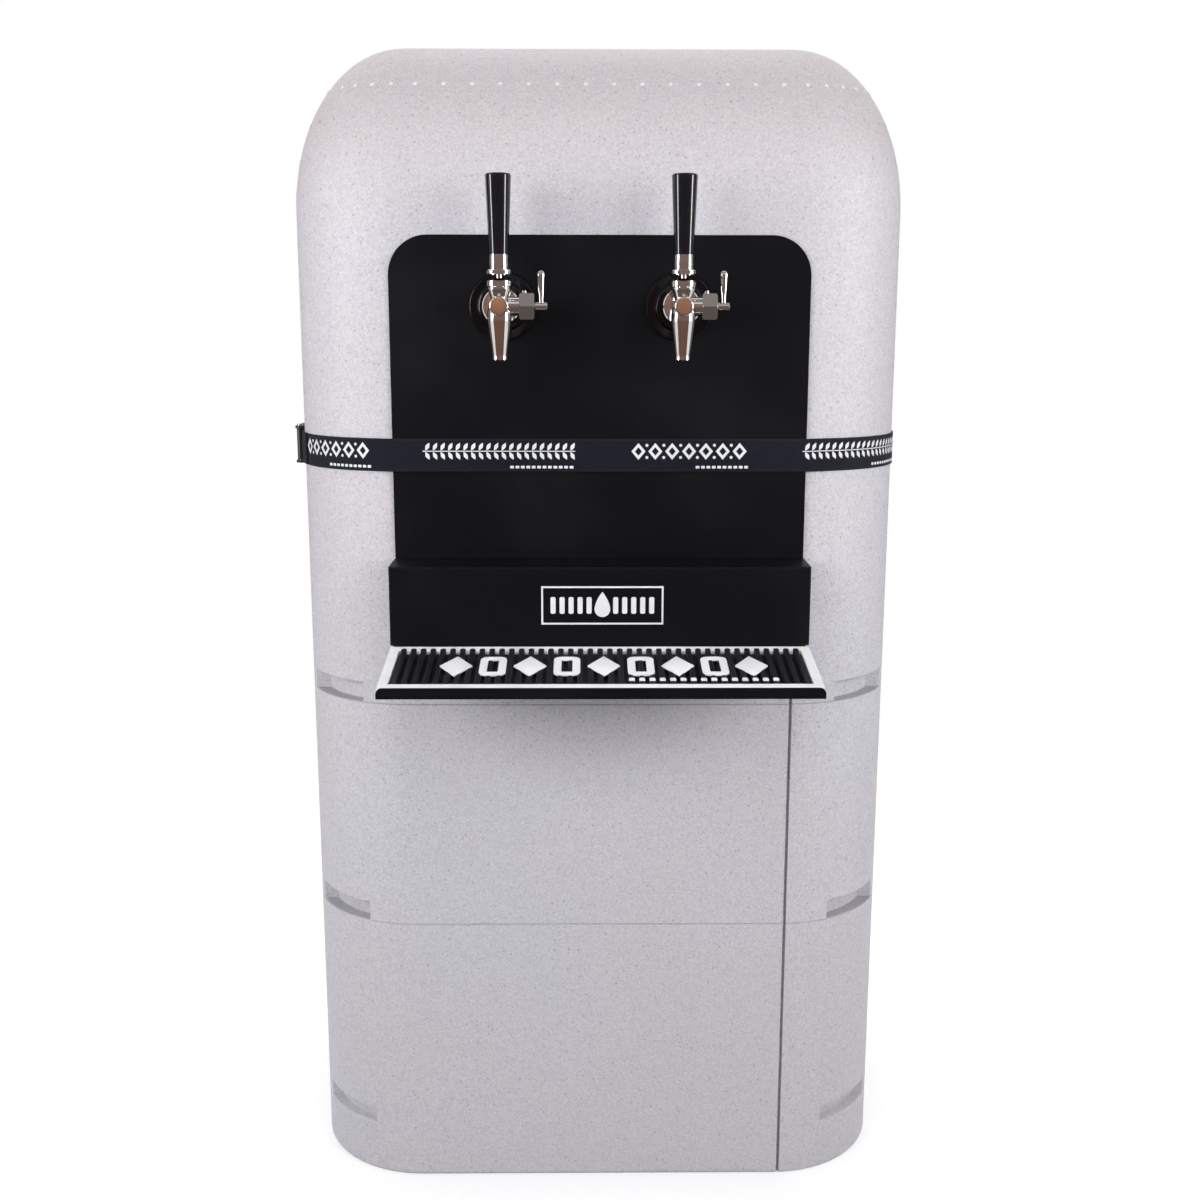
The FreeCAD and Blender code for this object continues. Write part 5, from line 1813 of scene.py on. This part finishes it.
@dataclass(frozen=True)
class Card:
    """A glowing board that only reflections see, with one colour low and one high."""

    name: str
    size: Pair
    place: Triple
    facing: Triple
    low_colour: Colour
    high_colour: Colour

    def build(self) -> None:
        """Stand the board up."""
        Workpiece.clear()
        bpy.ops.mesh.primitive_plane_add(size=1.0)
        board = Workpiece(self.name, bpy.context.object)
        board.move(Matrix.Diagonal((*self.size, 1, 1)))
        turn = Vector(self.facing).to_track_quat("Z", "Y").to_matrix().to_4x4()
        board.move(Matrix.Translation(self.place) @ turn)
        bench = NodeBench(self.name)
        height = bench.axes(bench.place())[2]
        middle, half = self.place[2], self.size[1] / 2
        rise = bench.span(height, middle - half, middle + half, 0.0, 1.0)
        glow = bench.add("ShaderNodeEmission")
        bench.feed(glow, "Color", bench.blend(rise, self.low_colour, self.high_colour))
        bench.feed(bench.out, "Surface", glow.outputs[0])
        board.obj.data.materials.append(bench.material)
        for ray in ("camera", "diffuse", "transmission", "volume_scatter", "shadow"):
            setattr(board.obj, "visible_" + ray, False)


@dataclass
class Studio:
    """Pale floor, white surroundings, soft lamps and the camera."""

    floor_half: float = 9.0
    floor_colour: Colour = (0.50, 0.50, 0.51)
    floor_roughness: float = 0.9
    floor_shine: float = 0.1
    floor_glow: float = 0.54
    floor_fade: Pair = (0.95, 1.9)
    ambient: float = 0.22
    focal: float = 42.5155
    sensor: float = 36.0
    camera_place: Triple = (-0.01627, -1.87648, 1.03746)
    camera_yaw: float = 0.6126
    camera_pitch: float = 11.287
    camera_roll: float = -0.088
    lamps: tuple[Softbox, ...] = (
        Softbox("overhead_box", (1.6, 1.2), (0.0, 1.6, 3.8), (0.0, 0.0, 1.3), 86.0),
        Softbox("front_left_box", (1.4, 0.9), (-1.32, -1.45, 1.30), (-0.2, -0.25, 1.07), 23.2),
        Softbox("front_right_box", (1.4, 0.9), (1.32, -1.45, 1.30), (0.2, -0.25, 1.07), 22.2),
        Softbox("tray_box", (0.6, 0.25), (0.0, -0.75, 2.2), (0.0, -0.42, 0.68), 0.36, spread=30.0),
        Softbox("side_left_box", (1.6, 1.8), (-2.5, 0.6, 1.75), (0.0, 0.0, 1.2), 11.5),
        Softbox("side_right_box", (1.6, 1.8), (2.5, 0.6, 1.75), (0.0, 0.0, 1.2), 10.5),
        Softbox("rear_box", (2.0, 1.8), (0.0, 3.2, 1.1), (0.0, 0.3, 0.7), 27.0),
        Softbox("strip_right", (0.30, 1.2), (2.0, -1.05, 1.34), (0.0, -0.3, 1.1), 34.0,
                mirrored=True),
        Softbox("strip_left", (0.30, 1.2), (-2.0, -1.05, 1.34), (0.0, -0.3, 1.1), 28.0,
                mirrored=True),
    )
    cards: tuple[Card, ...] = (
        Card("front_card", (4.9, 2.2), (-0.25, -1.95, 1.10), (0, 1, 0), (0.17, 0.085, 0.05),
             (0.30, 0.24, 0.25)),
        Card("amber_left_card", (0.045, 0.06), (-0.20, -1.94, 1.06), (0, 1, 0), (0.30, 0.11, 0.05),
             (0.66, 0.31, 0.15)),
        Card("amber_right_card", (0.045, 0.06), (0.194, -1.94, 1.06), (0, 1, 0), (0.30, 0.11, 0.05),
             (0.66, 0.31, 0.15)),
        Card("ceiling_card", (3.4, 3.2), (0.0, -0.30, 2.90), (0, 0, -1), (0.26, 0.23, 0.23),
             (0.34, 0.30, 0.30)),
        Card("rim_card", (3.0, 1.1), (0.0, 0.75, 2.85), (0, 0, -1), (1.9, 1.9, 1.95),
             (1.9, 1.9, 1.95)),
        Card("floor_card", (5.8, 1.3), (-0.70, -1.29, 0.012), (0, 0, 1), (0.10, 0.085, 0.08),
             (0.16, 0.14, 0.13)),
        Card("rear_card", (6.5, 3.4), (0.0, 3.0, 1.70), (0, -1, 0), (0.12, 0.11, 0.11),
             (0.30, 0.28, 0.28)),
        Card("left_card", (2.4, 3.4), (-2.4, 1.15, 1.7), (1, 0, 0), (0.06, 0.05, 0.05),
             (0.20, 0.18, 0.18)),
        Card("right_card", (2.4, 3.4), (2.4, 1.15, 1.7), (-1, 0, 0), (0.06, 0.05, 0.05),
             (0.20, 0.18, 0.18)),
    )

    def build(self) -> None:
        """Set up floor, world, lamps, cards and camera."""
        self.floor()
        self.world()
        for lamp in self.lamps:
            lamp.build()
        for card in self.cards:
            card.build()
        self.camera()
        bpy.context.scene.view_settings.view_transform = "Standard"

    def floor(self) -> None:
        """Pale floor that keeps the object's shadow and turns white further out."""
        Workpiece.clear()
        bpy.ops.mesh.primitive_plane_add(size=2 * self.floor_half)
        piece = Workpiece("studio_floor", bpy.context.object)
        bench = NodeBench("studio_floor")
        bench.shade("Base Color", (*self.floor_colour, 1.0))
        bench.shade("Roughness", self.floor_roughness)
        bench.shade("Specular IOR Level", self.floor_shine)
        seen = background_rays(bench.tree)
        boost = bench.add("ShaderNodeEmission")
        bench.feed(boost, "Strength", bench.reckon("MULTIPLY", seen, self.floor_glow))
        lit = bench.add("ShaderNodeAddShader")
        bench.feed(lit, 0, bench.shader.outputs[0])
        bench.feed(lit, 1, boost.outputs[0])
        x, y, _ = bench.axes(bench.place())
        far = bench.span(bench.distance(x, y), *self.floor_fade, 0.0, 1.0)
        white = bench.add("ShaderNodeEmission")
        bench.feed(white, "Strength", bench.span(seen, 0.0, 1.0, self.ambient, 1.0))
        mixed = bench.add("ShaderNodeMixShader")
        for number, part in enumerate((far, lit.outputs[0], white.outputs[0])):
            bench.feed(mixed, number, part)
        bench.feed(bench.out, "Surface", mixed.outputs[0])
        piece.obj.data.materials.append(bench.material)

    def world(self) -> None:
        """White where it is seen or mirrored, dimmer where it only lights."""
        world = bpy.data.worlds.new("studio")
        world.use_nodes = True
        tree = world.node_tree
        back = tree.nodes["Background"]
        back.inputs["Color"].default_value = (1, 1, 1, 1)
        level = tree.nodes.new("ShaderNodeMapRange")
        tree.links.new(background_rays(tree), level.inputs[0])
        level.inputs["To Min"].default_value = self.ambient
        level.inputs["To Max"].default_value = 1.0
        tree.links.new(level.outputs[0], back.inputs["Strength"])
        bpy.context.scene.world = world

    def camera(self) -> None:
        """The viewing camera, from its place and its yaw, pitch and roll in degrees."""
        data = bpy.data.cameras.new("view_camera")
        data.sensor_width = self.sensor
        data.lens = self.focal
        camera = bpy.data.objects.new("view_camera", data)
        bpy.context.scene.collection.objects.link(camera)
        yaw, pitch, roll = (math.radians(angle) for angle in
                            (self.camera_yaw, self.camera_pitch, self.camera_roll))
        ahead = Vector((math.sin(yaw) * math.cos(pitch), math.cos(yaw) * math.cos(pitch),
                        -math.sin(pitch)))
        right = Vector((math.cos(yaw), -math.sin(yaw), 0))
        up = right.cross(ahead)
        turned = right * math.cos(roll) - up * math.sin(roll)
        upright = up * math.cos(roll) + right * math.sin(roll)
        matrix = Matrix((turned, upright, -ahead)).transposed().to_4x4()
        matrix.translation = Vector(self.camera_place)
        camera.matrix_world = matrix
        bpy.context.scene.camera = camera


def main() -> None:
    """Build and dress the cooler, sub-assembly by sub-assembly, then the studio."""
    logging.basicConfig(level=logging.INFO, format="%(name)s: %(message)s")
    body = FoamBody()
    body.build()
    body.dress()
    LOG.info("foam body")
    TapFront().build()
    LOG.info("tap plate, shelf, tray and print")
    dress(RIBBED, "bar_mat")
    BarMat().build()
    LOG.info("bar mat")
    strap = GirthStrap()
    strap.build()
    strap.dress()
    LOG.info("girth strap and buckle")
    for side, x in TAP_X.items():
        Tap(side, x).build()
        LOG.info("tap %s", side.value)
    BeerCircuit().dress()
    LOG.info("beer circuit")
    Studio().build()


if __name__ == "__main__":
    main()
